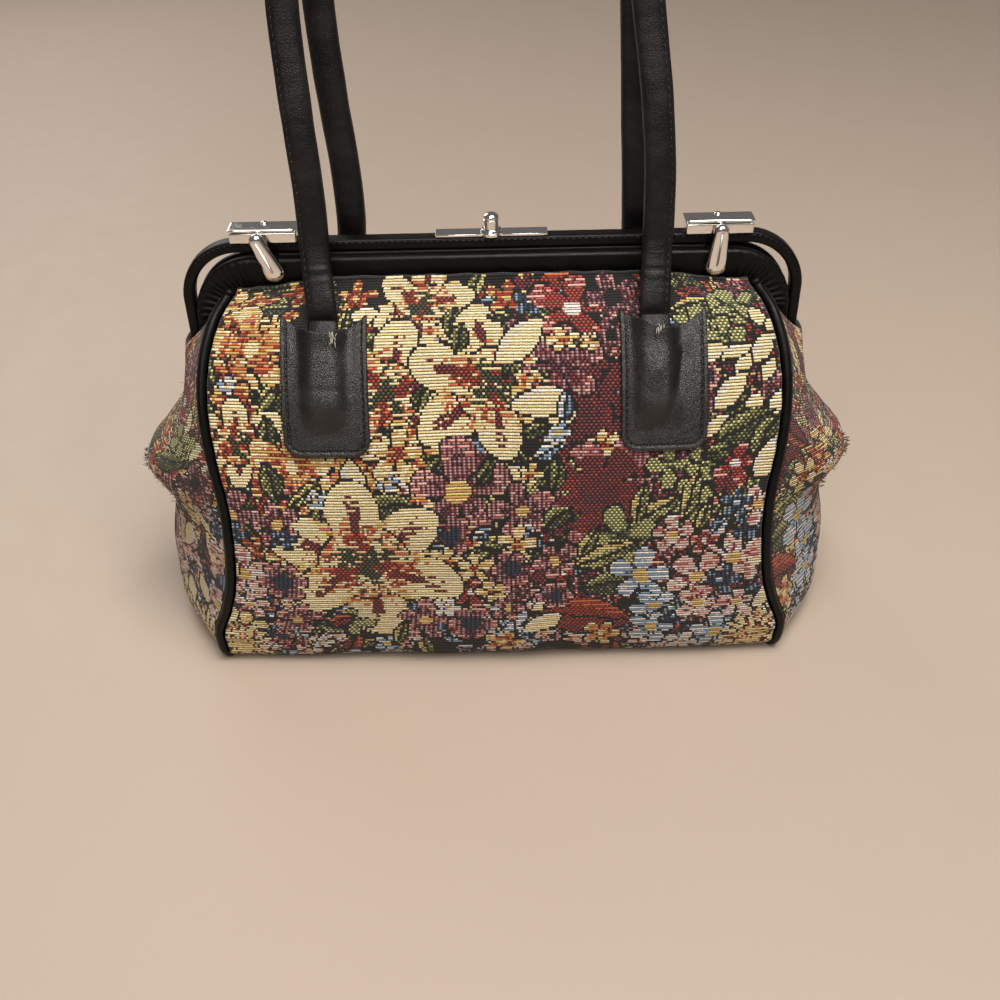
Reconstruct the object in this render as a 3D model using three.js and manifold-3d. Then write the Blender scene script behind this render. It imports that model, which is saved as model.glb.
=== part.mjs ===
// A tapestry satchel with a leather-covered hoop frame, two padded loop handles, turning side levers
// and a push lock. Millimetres, +Z up, front faces -Y, origin on the floor under the middle of the base.
import * as THREE from "three";
import { mergeVertices } from "three/addons/utils/BufferGeometryUtils.js";
import Module from "manifold-3d";

const wasm = await Module();
wasm.setup();

// Walls and clearances
const CLOTH = 2; // tapestry with its backing
const LEATHER = 2;
const CLEARANCE = 0.3; // between neighbouring pieces
const SEAM_GAP = 0.9; // between the piping and the cloth beside it
const MOUTH_GAP = 1; // between the two facings
const SEAT_GAP = 0.6; // between a panel and the tabs and strap ends on it

// Tapestry body
const HALF_WIDTH = 147.5; // frame, and panels at their widest, to the outside of the piping
const BODY_HEIGHT = 192; // top edge of the tapestry
const HALF_DEPTH = 70; // front panel at its fullest, from the middle
const BASE_HALF_DEPTH = 52; // seam between base and front panel
const GUSSET_REACH = 31.7; // ear of the gusset beyond the frame
const PANEL_SETBACK = 5; // how far a panel's side edges lie behind its middle
const CORNER_DROP = 5; // top corners of a panel below its middle
const PIPING_RADIUS = 2.4;

// Frame and facings
const FACING_BAND = 8.7; // leather that shows above the tapestry
const FACING_LAP = 6; // leather behind the tapestry's top edge
const FACING_DEPTH = 7; // front of the facing, from the middle
const FACING_CORNER = 29;
const FACING_SEAT_HALF_WIDTH = 100; // thin top edge that seats under the hoop
const FRAME_RECESS = 1.8; // dark groove between facing and hoop
const HOOP_THICKNESS = 5.5;
const HOOP_DEPTH = 8;
const HOOP_CORNER = 29;
const HOOP_LEG = 68; // length of each leg below the top

// Handles and their tabs
const TAB_SPREAD = 78; // middle of each tab from the middle of the bag
const TAB_HALF_WIDTH = 20;
const TAB_LENGTH = 66;
const TAB_CORNER = 8;
const TAB_DIP = 11; // hollow of the tab's top edge
const TAB_DROP = 12.8; // tab's top corners below the top edge of the tapestry
const HANDLE_TOP = 415;
const STRAP_WIDTH = 13.8;
const STRAP_THICKNESS = 8.6;
const STRAP_END_THICKNESS = 4.6;

// Side clasps and their levers
const CLASP_INSET = 42.5; // middle of each clasp from the frame's end
const CLASP_WIDTH = 31;
const CLASP_HEIGHT = 5;
const CLASP_OVERHANG = 2.6; // in front of the hoop
const COVER_THICKNESS = 1.1;
const RIVET_RADIUS = 1.7;
const LEVER_REACH = 21.5; // from the pivot to the tip
const LEVER_TOP_RADIUS = 3.5;
const LEVER_TIP_RADIUS = 5.3;
const LEVER_THICKNESS = 4.5;
const LEVER_PIN_RADIUS = 1.4;
const LEVER_PIN_LENGTH = 4;
const LEVER_RUNNING_GAP = 1; // between lever and clasp
const LEFT_LEVER_SHIFT = -2.4; // pivot from the middle of its clasp
const RIGHT_LEVER_SHIFT = 0.2;
const LEFT_LEVER_LEAN = 22; // degrees, lower end inwards
const RIGHT_LEVER_LEAN = 4;

// Lock
const LOCK_PLATE_WIDTH = 52;
const LOCK_PLATE_DEPTH = 7.6;
const LOCK_PLATE_THICKNESS = 1.2;
const LOCK_COLLAR_RADIUS = 5.2;
const LOCK_COLLAR_HEIGHT = 2.8;
const BUTTON_RADIUS = 3.6;
const BUTTON_TOP = 10.5; // above the hoop
const BUTTON_TRAVEL = 2;

// Heights and places that follow from the sizes above
const FACING_TOP = BODY_HEIGHT + FACING_BAND;
const HOOP_UNDERSIDE = FACING_TOP + FRAME_RECESS;
const HOOP_TOP = HOOP_UNDERSIDE + HOOP_THICKNESS;
const FACING_HALF_WIDTH = HALF_WIDTH - HOOP_THICKNESS - CLEARANCE;
const TOP_DEPTH = FACING_DEPTH + CLEARANCE + CLOTH;
const TAB_TOP = BODY_HEIGHT - TAB_DROP;
const CLASP_SPREAD = HALF_WIDTH - CLASP_INSET;
const CLASP_FRONT = HOOP_DEPTH / 2 + CLASP_OVERHANG;
const PIVOT_HEIGHT = HOOP_TOP + CLEARANCE + CLASP_HEIGHT / 2;

// Side edge of a panel from the seam at the base up to the facing. Height is a share of BODY_HEIGHT, width
// of HALF_WIDTH, depth goes from TOP_DEPTH (0) to HALF_DEPTH (1), setback is a share of PANEL_SETBACK.
const EDGE_ROWS = [
  { height: 0.004, width: 0.968, depth: 0.703, setback: 0.0 },
  { height: 0.008, width: 0.976, depth: 0.81, setback: 0.1 },
  { height: 0.022, width: 0.988, depth: 0.882, setback: 0.3 },
  { height: 0.052, width: 0.998, depth: 0.932, setback: 0.6 },
  { height: 0.11, width: 0.997, depth: 0.972, setback: 0.9 },
  { height: 0.182, width: 0.96, depth: 0.992, setback: 1.0 },
  { height: 0.26, width: 0.929, depth: 1.0, setback: 1.0 },
  { height: 0.365, width: 0.91, depth: 0.988, setback: 1.0 },
  { height: 0.495, width: 0.905, depth: 0.942, setback: 1.0 },
  { height: 0.625, width: 0.925, depth: 0.852, setback: 1.0 },
  { height: 0.703, width: 0.936, depth: 0.77, setback: 1.0 },
  { height: 0.781, width: 0.938, depth: 0.66, setback: 1.0 },
  { height: 0.859, width: 0.926, depth: 0.503, setback: 0.9 },
  { height: 0.917, width: 0.902, depth: 0.335, setback: 0.7 },
  { height: 0.95, width: 0.882, depth: 0.178, setback: 0.4 },
  { height: 0.974, width: 0.865, depth: 0.07, setback: 0.15 },
  { height: 1.0, width: 0.848, depth: 0.0, setback: 0.0 },
];

// Gusset from its seam under the base end (first row) to its top edge. Edge and middle are heights at the
// piping and at mid depth, as shares of BODY_HEIGHT; reach is a share of GUSSET_REACH beyond the frame.
const GUSSET_ROWS = [
  { edge: 0.004, middle: 0.006, reach: -0.2 },
  { edge: 0.012, middle: 0.004, reach: 0.22 },
  { edge: 0.03, middle: 0.01, reach: 0.54 },
  { edge: 0.055, middle: 0.034, reach: 0.76 },
  { edge: 0.09, middle: 0.078, reach: 0.86 },
  { edge: 0.165, middle: 0.156, reach: 0.862 },
  { edge: 0.25, middle: 0.24, reach: 0.826 },
  { edge: 0.325, middle: 0.31, reach: 0.74 },
  { edge: 0.38, middle: 0.36, reach: 0.7 },
  { edge: 0.43, middle: 0.405, reach: 0.73 },
  { edge: 0.475, middle: 0.448, reach: 0.89 },
  { edge: 0.51, middle: 0.482, reach: 1.0 },
  { edge: 0.545, middle: 0.518, reach: 0.93 },
  { edge: 0.59, middle: 0.555, reach: 0.73 },
  { edge: 0.67, middle: 0.62, reach: 0.43 },
  { edge: 0.75, middle: 0.68, reach: 0.2 },
  { edge: 0.86, middle: 0.755, reach: 0.07 },
  { edge: 0.972, middle: 0.822, reach: 0.02 },
];

// Broad dents of a panel: place as shares of HALF_WIDTH and BODY_HEIGHT, size and depth as shares of HALF_DEPTH.
const DENTS = [
  { across: -0.1, height: 0.72, size: 0.45, depth: 0.035 },
  { across: 0.34, height: 0.42, size: 0.5, depth: 0.03 },
  { across: -0.5, height: 0.3, size: 0.42, depth: 0.026 },
  { across: -0.82, height: 0.62, size: 0.3, depth: 0.03 },
  { across: 0.84, height: 0.55, size: 0.3, depth: 0.03 },
  { across: 0.05, height: 0.14, size: 0.4, depth: -0.022 },
];

// Width of the facing's band along its outer edge, from the middle of the top (0) to the end of the leg (1),
// as a share of FACING_BAND + FACING_LAP.
const FACING_ROWS = [
  { along: 0, band: 1 },
  { along: 0.55, band: 1 },
  { along: 0.68, band: 1.12 },
  { along: 0.82, band: 1.2 },
  { along: 0.93, band: 0.72 },
  { along: 1, band: 0.25 },
];

// Section of the facing: across is a share of the band from its outer edge, depth of FACING_DEPTH.
const FACING_SECTION = [
  { across: 0.0, depth: 0.45 },
  { across: 0.03, depth: 0.78 },
  { across: 0.12, depth: 0.96 },
  { across: 0.3, depth: 1.0 },
  { across: 0.6, depth: 0.95 },
  { across: 1.0, depth: 0.85 },
  { across: 1.0, depth: 0.3 },
  { across: 0.1, depth: 0.16 },
];

// Handle sides from the tab's mouth up to the arch. Height is a share of the rise from BODY_HEIGHT to
// HANDLE_TOP, left and right are shares of TAB_SPREAD, depth is a share of HALF_DEPTH.
const FRONT_HANDLE_ROWS = [
  { height: -0.03, left: -1.0, right: 0.95, depth: 0.41 },
  { height: 0.03, left: -1.02, right: 0.957, depth: 0.29 },
  { height: 0.085, left: -1.028, right: 0.965, depth: 0.22 },
  { height: 0.2, left: -1.032, right: 0.962, depth: 0.175 },
  { height: 0.33, left: -1.055, right: 0.935, depth: 0.115 },
  { height: 0.54, left: -1.085, right: 0.857, depth: -0.04 },
];
const BACK_HANDLE_ROWS = [
  { height: -0.03, left: -0.91, right: 0.92, depth: 0.41 },
  { height: 0.03, left: -0.868, right: 0.895, depth: 0.29 },
  { height: 0.085, left: -0.852, right: 0.885, depth: 0.24 },
  { height: 0.2, left: -0.864, right: 0.87, depth: 0.27 },
  { height: 0.33, left: -0.9, right: 0.853, depth: 0.31 },
  { height: 0.54, left: -0.932, right: 0.825, depth: 0.36 },
];

// How finely the pieces are divided
const PANEL_ACROSS = 20;
const PANEL_UP = 16;
const GUSSET_ACROSS = 12;
const GUSSET_UP = 22;
const TAB_ACROSS = 8;
const TAB_DOWN = 8;
const ROUND_SIDES = 8;
const CORNER_STEPS = 6;
const ARCH_STEPS = 9;
const STRAP_STEPS = 34;
const PIPING_STEPS = 46;
const LATHE_SIDES = 16;
const EDGE_DIVISIONS = 400;

const leather = { color: 0x17161a, roughness: 0.48, metalness: 0 };
const tapestry = { color: 0x8a5a48, roughness: 0.95, metalness: 0 };
const chrome = { color: 0xd8d6d2, roughness: 0.12, metalness: 1 };

// Numbers and curves

function smoothStep(low, high, value) {
  const share = Math.min(Math.max((value - low) / (high - low), 0), 1);
  return share * share * (3 - 2 * share);
}

// A smooth curve through three columns of a table, read from 0 (first row) to 1 (last row).
function tableCurve(rows, ...columns) {
  const points = rows.map((row) => new THREE.Vector3(...columns.map((column) => row[column] ?? 0)));
  return new THREE.CatmullRomCurve3(points, false, "centripetal");
}

// The share of a curve where its coordinate reaches a value, for a coordinate that always rises.
function shareWhere(read, value) {
  let low = 0;
  let high = 1;
  while (high - low > 1e-6) {
    const middle = (low + high) / 2;
    if (read(middle) < value) low = middle;
    else high = middle;
  }
  return (low + high) / 2;
}

// Straight-line reading of a table between its rows.
function readTable(rows, key, column, value) {
  const next = Math.max(rows.findIndex((row) => row[key] >= value), 1);
  const [before, after] = [rows[next - 1], rows[next]];
  return THREE.MathUtils.mapLinear(value, before[key], after[key], before[column], after[column]);
}

// Closed meshes

function geometryOf(points, triangles) {
  const flat = points.flatMap((point) => [point.x, point.y, point.z]);
  const geometry = new THREE.BufferGeometry();
  geometry.setAttribute("position", new THREE.Float32BufferAttribute(flat, 3));
  geometry.setIndex(triangles);
  return geometry;
}

// Turns all triangles round where a closed mesh would enclose a negative volume.
function facingOut(geometry) {
  const place = geometry.attributes.position;
  const index = Array.from(geometry.index.array);
  const [a, b, c] = [new THREE.Vector3(), new THREE.Vector3(), new THREE.Vector3()];
  let volume = 0;
  for (let i = 0; i < index.length; i += 3) {
    a.fromBufferAttribute(place, index[i]);
    b.fromBufferAttribute(place, index[i + 1]);
    c.fromBufferAttribute(place, index[i + 2]);
    volume += a.dot(b.cross(c));
  }
  if (volume < 0) geometry.setIndex(index.reverse());
  return geometry;
}

// The outward normal of a surface given by a function of two shares, towards the side that faces away
// from a point inside.
function surfaceNormal(surface, across, along, inside) {
  const step = 1e-3;
  const [a0, a1] = [Math.max(across - step, 0), Math.min(across + step, 1)];
  const [b0, b1] = [Math.max(along - step, 0), Math.min(along + step, 1)];
  const side = surface(a1, along).sub(surface(a0, along));
  const up = surface(across, b1).sub(surface(across, b0));
  const normal = side.cross(up).normalize();
  const away = surface(across, along).sub(inside);
  return normal.dot(away) < 0 ? normal.negate() : normal;
}

// A closed sheet between an outer and an inner function of two shares.
function sheetBetween(outer, inner, acrossSteps, alongSteps) {
  const columns = acrossSteps + 1;
  const count = columns * (alongSteps + 1);
  const points = [];
  const triangles = [];
  const quad = (a, b, c, d) => triangles.push(a, b, c, a, c, d);
  for (const side of [outer, inner]) {
    for (let j = 0; j <= alongSteps; j += 1) {
      for (let i = 0; i <= acrossSteps; i += 1) points.push(side(i / acrossSteps, j / alongSteps));
    }
  }
  for (let j = 0; j < alongSteps; j += 1) {
    for (let i = 0; i < acrossSteps; i += 1) {
      const corner = j * columns + i;
      quad(corner, corner + 1, corner + columns + 1, corner + columns);
      const behind = count + corner;
      quad(behind, behind + columns, behind + columns + 1, behind + 1);
    }
  }
  const rim = [];
  for (let i = 0; i < acrossSteps; i += 1) rim.push(i);
  for (let j = 0; j < alongSteps; j += 1) rim.push(j * columns + acrossSteps);
  for (let i = acrossSteps; i > 0; i -= 1) rim.push(alongSteps * columns + i);
  for (let j = alongSteps; j > 0; j -= 1) rim.push(j * columns);
  rim.forEach((corner, place) => {
    const next = rim[(place + 1) % rim.length];
    quad(next, corner, count + corner, count + next);
  });
  return facingOut(geometryOf(points, triangles));
}

// A closed sheet of one thickness, laid inwards from its outer surface.
function sheet(surface, inside, wall, acrossSteps, alongSteps) {
  const inner = (across, along) => {
    const normal = surfaceNormal(surface, across, along, inside);
    return surface(across, along).addScaledVector(normal, -wall);
  };
  return sheetBetween(surface, inner, acrossSteps, alongSteps);
}

// A closed bar through stations, each a ring of as many points.
function barThrough(rings) {
  const sides = rings[0].length;
  const triangles = [];
  for (let j = 0; j < rings.length - 1; j += 1) {
    for (let i = 0; i < sides; i += 1) {
      const next = (i + 1) % sides;
      const [a, b] = [j * sides + i, j * sides + next];
      triangles.push(a, b, b + sides, a, b + sides, a + sides);
    }
  }
  const last = (rings.length - 1) * sides;
  for (let i = 1; i < sides - 1; i += 1) {
    triangles.push(0, i + 1, i);
    triangles.push(last, last + i, last + i + 1);
  }
  return facingOut(geometryOf(rings.flat(), triangles));
}

// Rings of a section carried along a curve. The section is given by points { wide, thick }, thick runs
// along the part of faceDirection that is square to the curve.
function ringsAlong(curve, steps, faceDirection, section) {
  const rings = [];
  for (let j = 0; j <= steps; j += 1) {
    const share = j / steps;
    const tangent = curve.getTangentAt(share);
    const centre = curve.getPointAt(share);
    const face = faceDirection(share).clone();
    face.addScaledVector(tangent, -face.dot(tangent)).normalize();
    const side = new THREE.Vector3().crossVectors(tangent, face);
    rings.push(
      section(share).map(({ wide, thick }) =>
        centre.clone().addScaledVector(side, wide).addScaledVector(face, thick),
      ),
    );
  }
  return rings;
}

function ellipseSection(halfWidth, halfThickness, sides) {
  return Array.from({ length: sides }, (_, i) => {
    const angle = ((i + 0.5) / sides) * 2 * Math.PI;
    return { wide: halfWidth * Math.cos(angle), thick: halfThickness * Math.sin(angle) };
  });
}

// Booleans

function solidOf(geometry) {
  const bare = geometry.clone();
  bare.deleteAttribute("normal");
  bare.deleteAttribute("uv");
  const merged = mergeVertices(bare, 1e-3);
  return new wasm.Manifold(
    new wasm.Mesh({
      numProp: 3,
      vertProperties: new Float32Array(merged.attributes.position.array),
      triVerts: new Uint32Array(merged.index.array),
    }),
  );
}

function geometryOfSolid(solid) {
  const mesh = solid.getMesh();
  const geometry = new THREE.BufferGeometry();
  geometry.setAttribute("position", new THREE.BufferAttribute(mesh.vertProperties, 3));
  geometry.setIndex(new THREE.BufferAttribute(mesh.triVerts, 1));
  return geometry;
}

// Tapestry body

const edgeTable = tableCurve(EDGE_ROWS, "width", "depth", "height");
const setbackTable = tableCurve(EDGE_ROWS, "setback");

// Half width, depth and height of a panel's side edge in millimetres, as one curve.
class PanelEdge extends THREE.Curve {
  getPoint(share, target = new THREE.Vector3()) {
    const row = edgeTable.getPoint(share);
    const depth = TOP_DEPTH + (HALF_DEPTH - TOP_DEPTH) * row.y;
    const seam = smoothStep(0.1, 0, share) * (BASE_HALF_DEPTH - baseRowDepth());
    return target.set(HALF_WIDTH * row.x, depth + seam, BODY_HEIGHT * row.z);
  }
}

function baseRowDepth() {
  return TOP_DEPTH + (HALF_DEPTH - TOP_DEPTH) * EDGE_ROWS[0].depth - CLEARANCE;
}

const panelEdge = new PanelEdge();
panelEdge.arcLengthDivisions = EDGE_DIVISIONS;

function edgeSetback(share) {
  return PANEL_SETBACK * setbackTable.getPoint(share).x;
}

function shareAtHeight(height) {
  return shareWhere((share) => panelEdge.getPoint(share).z, height);
}

// Half width of a panel's cloth between its two runs of piping.
function panelHalfWidth(edge) {
  return edge.x - 2 * PIPING_RADIUS - SEAM_GAP;
}

// How far the broad dents push a panel in at a place.
function dentDepth(across, height) {
  return DENTS.reduce((sum, dent) => {
    const away = Math.hypot(across - dent.across * HALF_WIDTH, height - dent.height * BODY_HEIGHT);
    return sum + dent.depth * HALF_DEPTH * Math.exp(-((away / (dent.size * HALF_DEPTH)) ** 2));
  }, 0);
}

// A point of the front panel's outer surface, at a distance from the middle and a share of the edge curve.
function panelPoint(across, share) {
  const edge = panelEdge.getPoint(share);
  const halfWidth = panelHalfWidth(edge);
  const sideways = Math.min(Math.abs(across) / halfWidth, 1);
  const topShare = smoothStep(0.8, 1, share);
  const drop = CORNER_DROP * topShare * smoothStep(0.55, 1, sideways);
  const fade = smoothStep(0, 0.25, share) * smoothStep(1, 0.8, share);
  const dent = dentDepth(across, edge.z) * fade * (1 - sideways ** 6);
  return new THREE.Vector3(across, -(edge.y - edgeSetback(share) * sideways ** 4 - dent), edge.z - drop);
}

function panelSurface(u, v) {
  const edge = panelEdge.getPoint(v);
  return panelPoint((2 * u - 1) * panelHalfWidth(edge), v);
}

// The middle of the piping beside a panel's edge.
function pipingPoint(share) {
  const edge = panelEdge.getPoint(share);
  const beside = panelPoint(panelHalfWidth(edge), share);
  const lowered = Math.max(beside.z, PIPING_RADIUS);
  const inwards = CLOTH / 2 + smoothStep(0.92, 1, share) * (PIPING_RADIUS - CLOTH / 2);
  const depth = Math.min(beside.y + inwards, -TOP_DEPTH + CLOTH - PIPING_RADIUS);
  return new THREE.Vector3(edge.x - PIPING_RADIUS, depth, lowered);
}

// The gusset's outer surface: across runs from the front piping to the back, along from the base to the top.
const gussetTable = tableCurve(GUSSET_ROWS, "edge", "middle", "reach");

function gussetSurface(across, along) {
  const row = gussetTable.getPoint(along);
  const fromMiddle = 2 * across - 1;
  const outwards = Math.abs(fromMiddle);
  const edge = pipingPoint(shareAtHeight(row.x * BODY_HEIGHT));
  const upright = smoothStep(0, 0.1, along);
  const seam = PIPING_RADIUS + SEAM_GAP;
  edge.x += seam * (1.25 - 0.35 * upright);
  edge.y += seam * 0.62 * upright;
  edge.z -= (PIPING_RADIUS - 1) * (1 - upright);
  const middleX = HALF_WIDTH + CLOTH + CLEARANCE + GUSSET_REACH * row.z;
  const bulge = Math.cos((Math.PI / 2) * outwards);
  const towardsTop = along ** 4;
  const depth = -edge.y * outwards ** (1 - 0.62 * towardsTop);
  const height = THREE.MathUtils.lerp(row.y * BODY_HEIGHT, edge.z, outwards ** 2.4);
  return new THREE.Vector3(edge.x + (middleX - edge.x) * bulge, Math.sign(fromMiddle) * depth, height);
}

// Half of the seam line round the base, from the front edge's middle to the middle of the base end.
function baseOutline() {
  const end = panelHalfWidth(panelEdge.getPoint(0));
  const outline = new THREE.Shape();
  outline.moveTo(-end, -BASE_HALF_DEPTH);
  outline.lineTo(end, -BASE_HALF_DEPTH);
  outline.lineTo(end, BASE_HALF_DEPTH);
  outline.lineTo(-end, BASE_HALF_DEPTH);
  outline.closePath();
  return outline;
}

// One run of piping: down the front edge, under the base end and up the back edge.
function pipingCurve() {
  const down = Array.from({ length: 24 }, (_, i) => pipingPoint(1 - i / 24));
  const corner = pipingPoint(0);
  const across = [1, 0.5, 0, -0.5, -1].map((side) => new THREE.Vector3(corner.x, corner.y * side, corner.z));
  const up = down.map((point) => new THREE.Vector3(point.x, -point.y, point.z)).reverse();
  return new THREE.CatmullRomCurve3([...down, ...across, ...up], false, "centripetal");
}

// Frame and facings

// The inverted U of a frame member: outer edge line from the end of the left leg over the top to the right.
function hoopStations(halfWidth, top, corner, legLength) {
  const stations = [];
  const add = (x, z, inX, inZ) =>
    stations.push({ place: new THREE.Vector3(x, 0, z), inwards: new THREE.Vector3(inX, 0, inZ) });
  add(-halfWidth, top - legLength, 1, 0);
  for (let i = 0; i <= CORNER_STEPS; i += 1) {
    const angle = (i / CORNER_STEPS) * (Math.PI / 2);
    const [c, s] = [Math.cos(angle), Math.sin(angle)];
    add(-halfWidth + corner * (1 - c), top - corner * (1 - s), c, -s);
  }
  for (const share of [-0.6, -0.2, 0.2, 0.6]) add(share * (halfWidth - corner), top, 0, -1);
  const mirrored = stations
    .filter(({ place }) => place.x < -corner)
    .reverse()
    .map(({ place, inwards }) => ({
      place: new THREE.Vector3(-place.x, 0, place.z),
      inwards: new THREE.Vector3(-inwards.x, 0, inwards.z),
    }));
  return [...stations.filter(({ place }) => place.x <= corner * 1.5), ...mirrored].filter(
    ({ place }, i, all) => i === 0 || place.distanceTo(all[i - 1].place) > 0.5,
  );
}

function hoopGeometry() {
  const half = HOOP_DEPTH / 2;
  const soft = HOOP_THICKNESS * 0.25;
  const section = [
    [0, -half + soft],
    [0, half - soft],
    [soft, half],
    [HOOP_THICKNESS - soft, half],
    [HOOP_THICKNESS, half - soft],
    [HOOP_THICKNESS, -half + soft],
    [HOOP_THICKNESS - soft, -half],
    [soft, -half],
  ];
  const stations = hoopStations(HALF_WIDTH, HOOP_TOP, HOOP_CORNER, HOOP_LEG);
  const rings = stations.map(({ place, inwards }) =>
    section.map(([inside, y]) => place.clone().addScaledVector(inwards, inside).setY(y)),
  );
  return barThrough(rings);
}

function facingGeometry() {
  const leg = FACING_CORNER + CLOTH;
  const stations = hoopStations(FACING_HALF_WIDTH, FACING_TOP, FACING_CORNER, leg + HOOP_THICKNESS);
  const band = FACING_BAND + FACING_LAP;
  const lengths = [0];
  stations.slice(1).forEach(({ place }, i) => lengths.push(lengths[i] + place.distanceTo(stations[i].place)));
  const total = lengths.at(-1);
  const rings = stations.map(({ place, inwards }, i) => {
    const along = Math.abs(2 * (lengths[i] / total) - 1);
    const width = band * readTable(FACING_ROWS, "along", "band", along);
    return FACING_SECTION.map(({ across, depth }) =>
      place
        .clone()
        .addScaledVector(inwards, across * width)
        .setY(-Math.max(depth * FACING_DEPTH, MOUTH_GAP / 2)),
    );
  });
  const seatHeight = FRAME_RECESS - CLEARANCE + FACING_BAND / 2;
  const seat = new THREE.BoxGeometry(2 * FACING_SEAT_HALF_WIDTH, LEATHER, seatHeight);
  seat.translate(0, -FACING_DEPTH / 2 + LEATHER / 4, FACING_TOP - FACING_BAND / 2 + seatHeight / 2);
  return geometryOfSolid(solidOf(barThrough(rings)).add(solidOf(seat)));
}

// Handles and tabs

const tabTopShare = shareAtHeight(TAB_TOP);
const edgeLength = panelEdge.getLength();

// The share of the edge curve at a distance below the tab's top corners, measured along the cloth.
function shareBelowTop(distance) {
  const lengths = panelEdge.getLengths(EDGE_DIVISIONS);
  const top = lengths[Math.round(tabTopShare * EDGE_DIVISIONS)];
  const target = Math.max(top - distance, 0);
  return shareWhere((share) => {
    const place = share * EDGE_DIVISIONS;
    const low = Math.min(Math.floor(place), EDGE_DIVISIONS - 1);
    return THREE.MathUtils.lerp(lengths[low], lengths[low + 1], place - low);
  }, Math.min(target, edgeLength));
}

// A point a height above the front panel, at a distance from the middle and down from the tab's top.
function abovePanel(across, down, height) {
  const share = shareBelowTop(down);
  const step = 0.004;
  const side = panelPoint(across + 1, share).sub(panelPoint(across - 1, share));
  const up = panelPoint(across, share + step).sub(panelPoint(across, share - step));
  const normal = side.cross(up).normalize();
  return panelPoint(across, share).addScaledVector(normal, height);
}

// Height of the hollow under the tab that holds the strap's end.
function pocketHeight(fromStrap, down) {
  const wide = Math.exp(-((fromStrap / (STRAP_WIDTH * 0.66)) ** 4));
  const mouth = 1 + 0.75 * smoothStep(TAB_DIP + TAB_LENGTH * 0.12, TAB_DIP * 0.5, down);
  const tail = smoothStep(TAB_LENGTH * 0.86, TAB_LENGTH * 0.6, down);
  return (STRAP_END_THICKNESS + 2 * CLEARANCE) * wide * mouth * tail;
}

function tabGeometry(centre, strapCentre) {
  const layer = (extra) => (u, v) => {
    const fromCentre = 2 * u - 1;
    const dip = TAB_DIP * (1 - Math.abs(fromCentre) ** 1.6) * (1 - v);
    const down = v * TAB_LENGTH + dip;
    const nearEnd = Math.max((down - (TAB_LENGTH - TAB_CORNER)) / TAB_CORNER, 0);
    const halfWidth = TAB_HALF_WIDTH - TAB_CORNER * (1 - Math.sqrt(Math.max(1 - nearEnd ** 2, 0)));
    const across = fromCentre * halfWidth;
    const pocket = pocketHeight(centre + across - strapCentre, down);
    return abovePanel(centre + across, down, SEAT_GAP + pocket + extra);
  };
  return sheetBetween(layer(LEATHER), layer(0), TAB_ACROSS, TAB_DOWN);
}

// The middle line of a handle: under the left tab, up, over a plain arch and down under the right tab.
function handleCurve(rows) {
  const underTab = [0.55, 0.42, 0.3, 0.2, 0.11, 0.05].map((share) => share * TAB_LENGTH);
  const height = SEAT_GAP + STRAP_END_THICKNESS / 2;
  const end = (centre) => underTab.map((down) => abovePanel(centre, down, height));
  const sideOf = (column) =>
    rows.map(
      (row) =>
        new THREE.Vector3(
          row[column] * TAB_SPREAD,
          -row.depth * HALF_DEPTH,
          BODY_HEIGHT + row.height * (HANDLE_TOP - BODY_HEIGHT),
        ),
    );
  const [left, right] = [sideOf("left"), sideOf("right")];
  const [leftTop, rightTop] = [left.at(-1), right.at(-1)];
  const arch = Array.from({ length: ARCH_STEPS - 1 }, (_, i) => {
    const angle = ((i + 1) / ARCH_STEPS) * Math.PI;
    const x = (leftTop.x + rightTop.x) / 2 - ((rightTop.x - leftTop.x) / 2) * Math.cos(angle);
    return new THREE.Vector3(x, leftTop.y, leftTop.z + (HANDLE_TOP - leftTop.z) * Math.sin(angle));
  });
  const leftEnd = end(TAB_SPREAD * rows[0].left);
  const rightEnd = end(TAB_SPREAD * rows[0].right);
  const points = [...leftEnd, ...left, ...arch, ...right.reverse(), ...rightEnd.reverse()];
  return new THREE.CatmullRomCurve3(points, false, "centripetal");
}

function strapSection(thickness) {
  const points = ellipseSection(STRAP_WIDTH / 2, thickness / 2, 10);
  const soften = (value) => Math.sign(value) * Math.abs(value) ** 0.8;
  return points.map(({ wide, thick }) => ({
    wide: soften(wide / (STRAP_WIDTH / 2)) * (STRAP_WIDTH / 2),
    thick: soften(thick / (thickness / 2)) * (thickness / 2),
  }));
}

function handleGeometry(rows) {
  const curve = handleCurve(rows);
  curve.arcLengthDivisions = EDGE_DIVISIONS;
  const length = curve.getLength();
  const forwards = new THREE.Vector3(0, -1, 0);
  const section = (share) => {
    const fromEnd = Math.min(share, 1 - share) * length;
    const grown = smoothStep(TAB_LENGTH * 0.54, TAB_LENGTH * 0.9, fromEnd);
    return strapSection(THREE.MathUtils.lerp(STRAP_END_THICKNESS, STRAP_THICKNESS, grown));
  };
  return barThrough(ringsAlong(curve, STRAP_STEPS, () => forwards, section));
}

// Metal fittings

function roundedPlate(width, depth, thickness, corner) {
  const outline = new THREE.Shape();
  const [x, y] = [width / 2, depth / 2];
  outline.moveTo(-x + corner, -y);
  outline.lineTo(x - corner, -y);
  outline.lineTo(x, -y + corner);
  outline.lineTo(x, y - corner);
  outline.lineTo(x - corner, y);
  outline.lineTo(-x + corner, y);
  outline.lineTo(-x, y - corner);
  outline.lineTo(-x, -y + corner);
  outline.closePath();
  return new THREE.ExtrudeGeometry(outline, { depth: thickness, bevelEnabled: false });
}

function uprightCylinder(radius, bottom, top, sides = LATHE_SIDES) {
  const geometry = new THREE.CylinderGeometry(radius, radius, top - bottom, sides);
  geometry.rotateX(Math.PI / 2);
  geometry.translate(0, 0, (top + bottom) / 2);
  return geometry;
}

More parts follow.
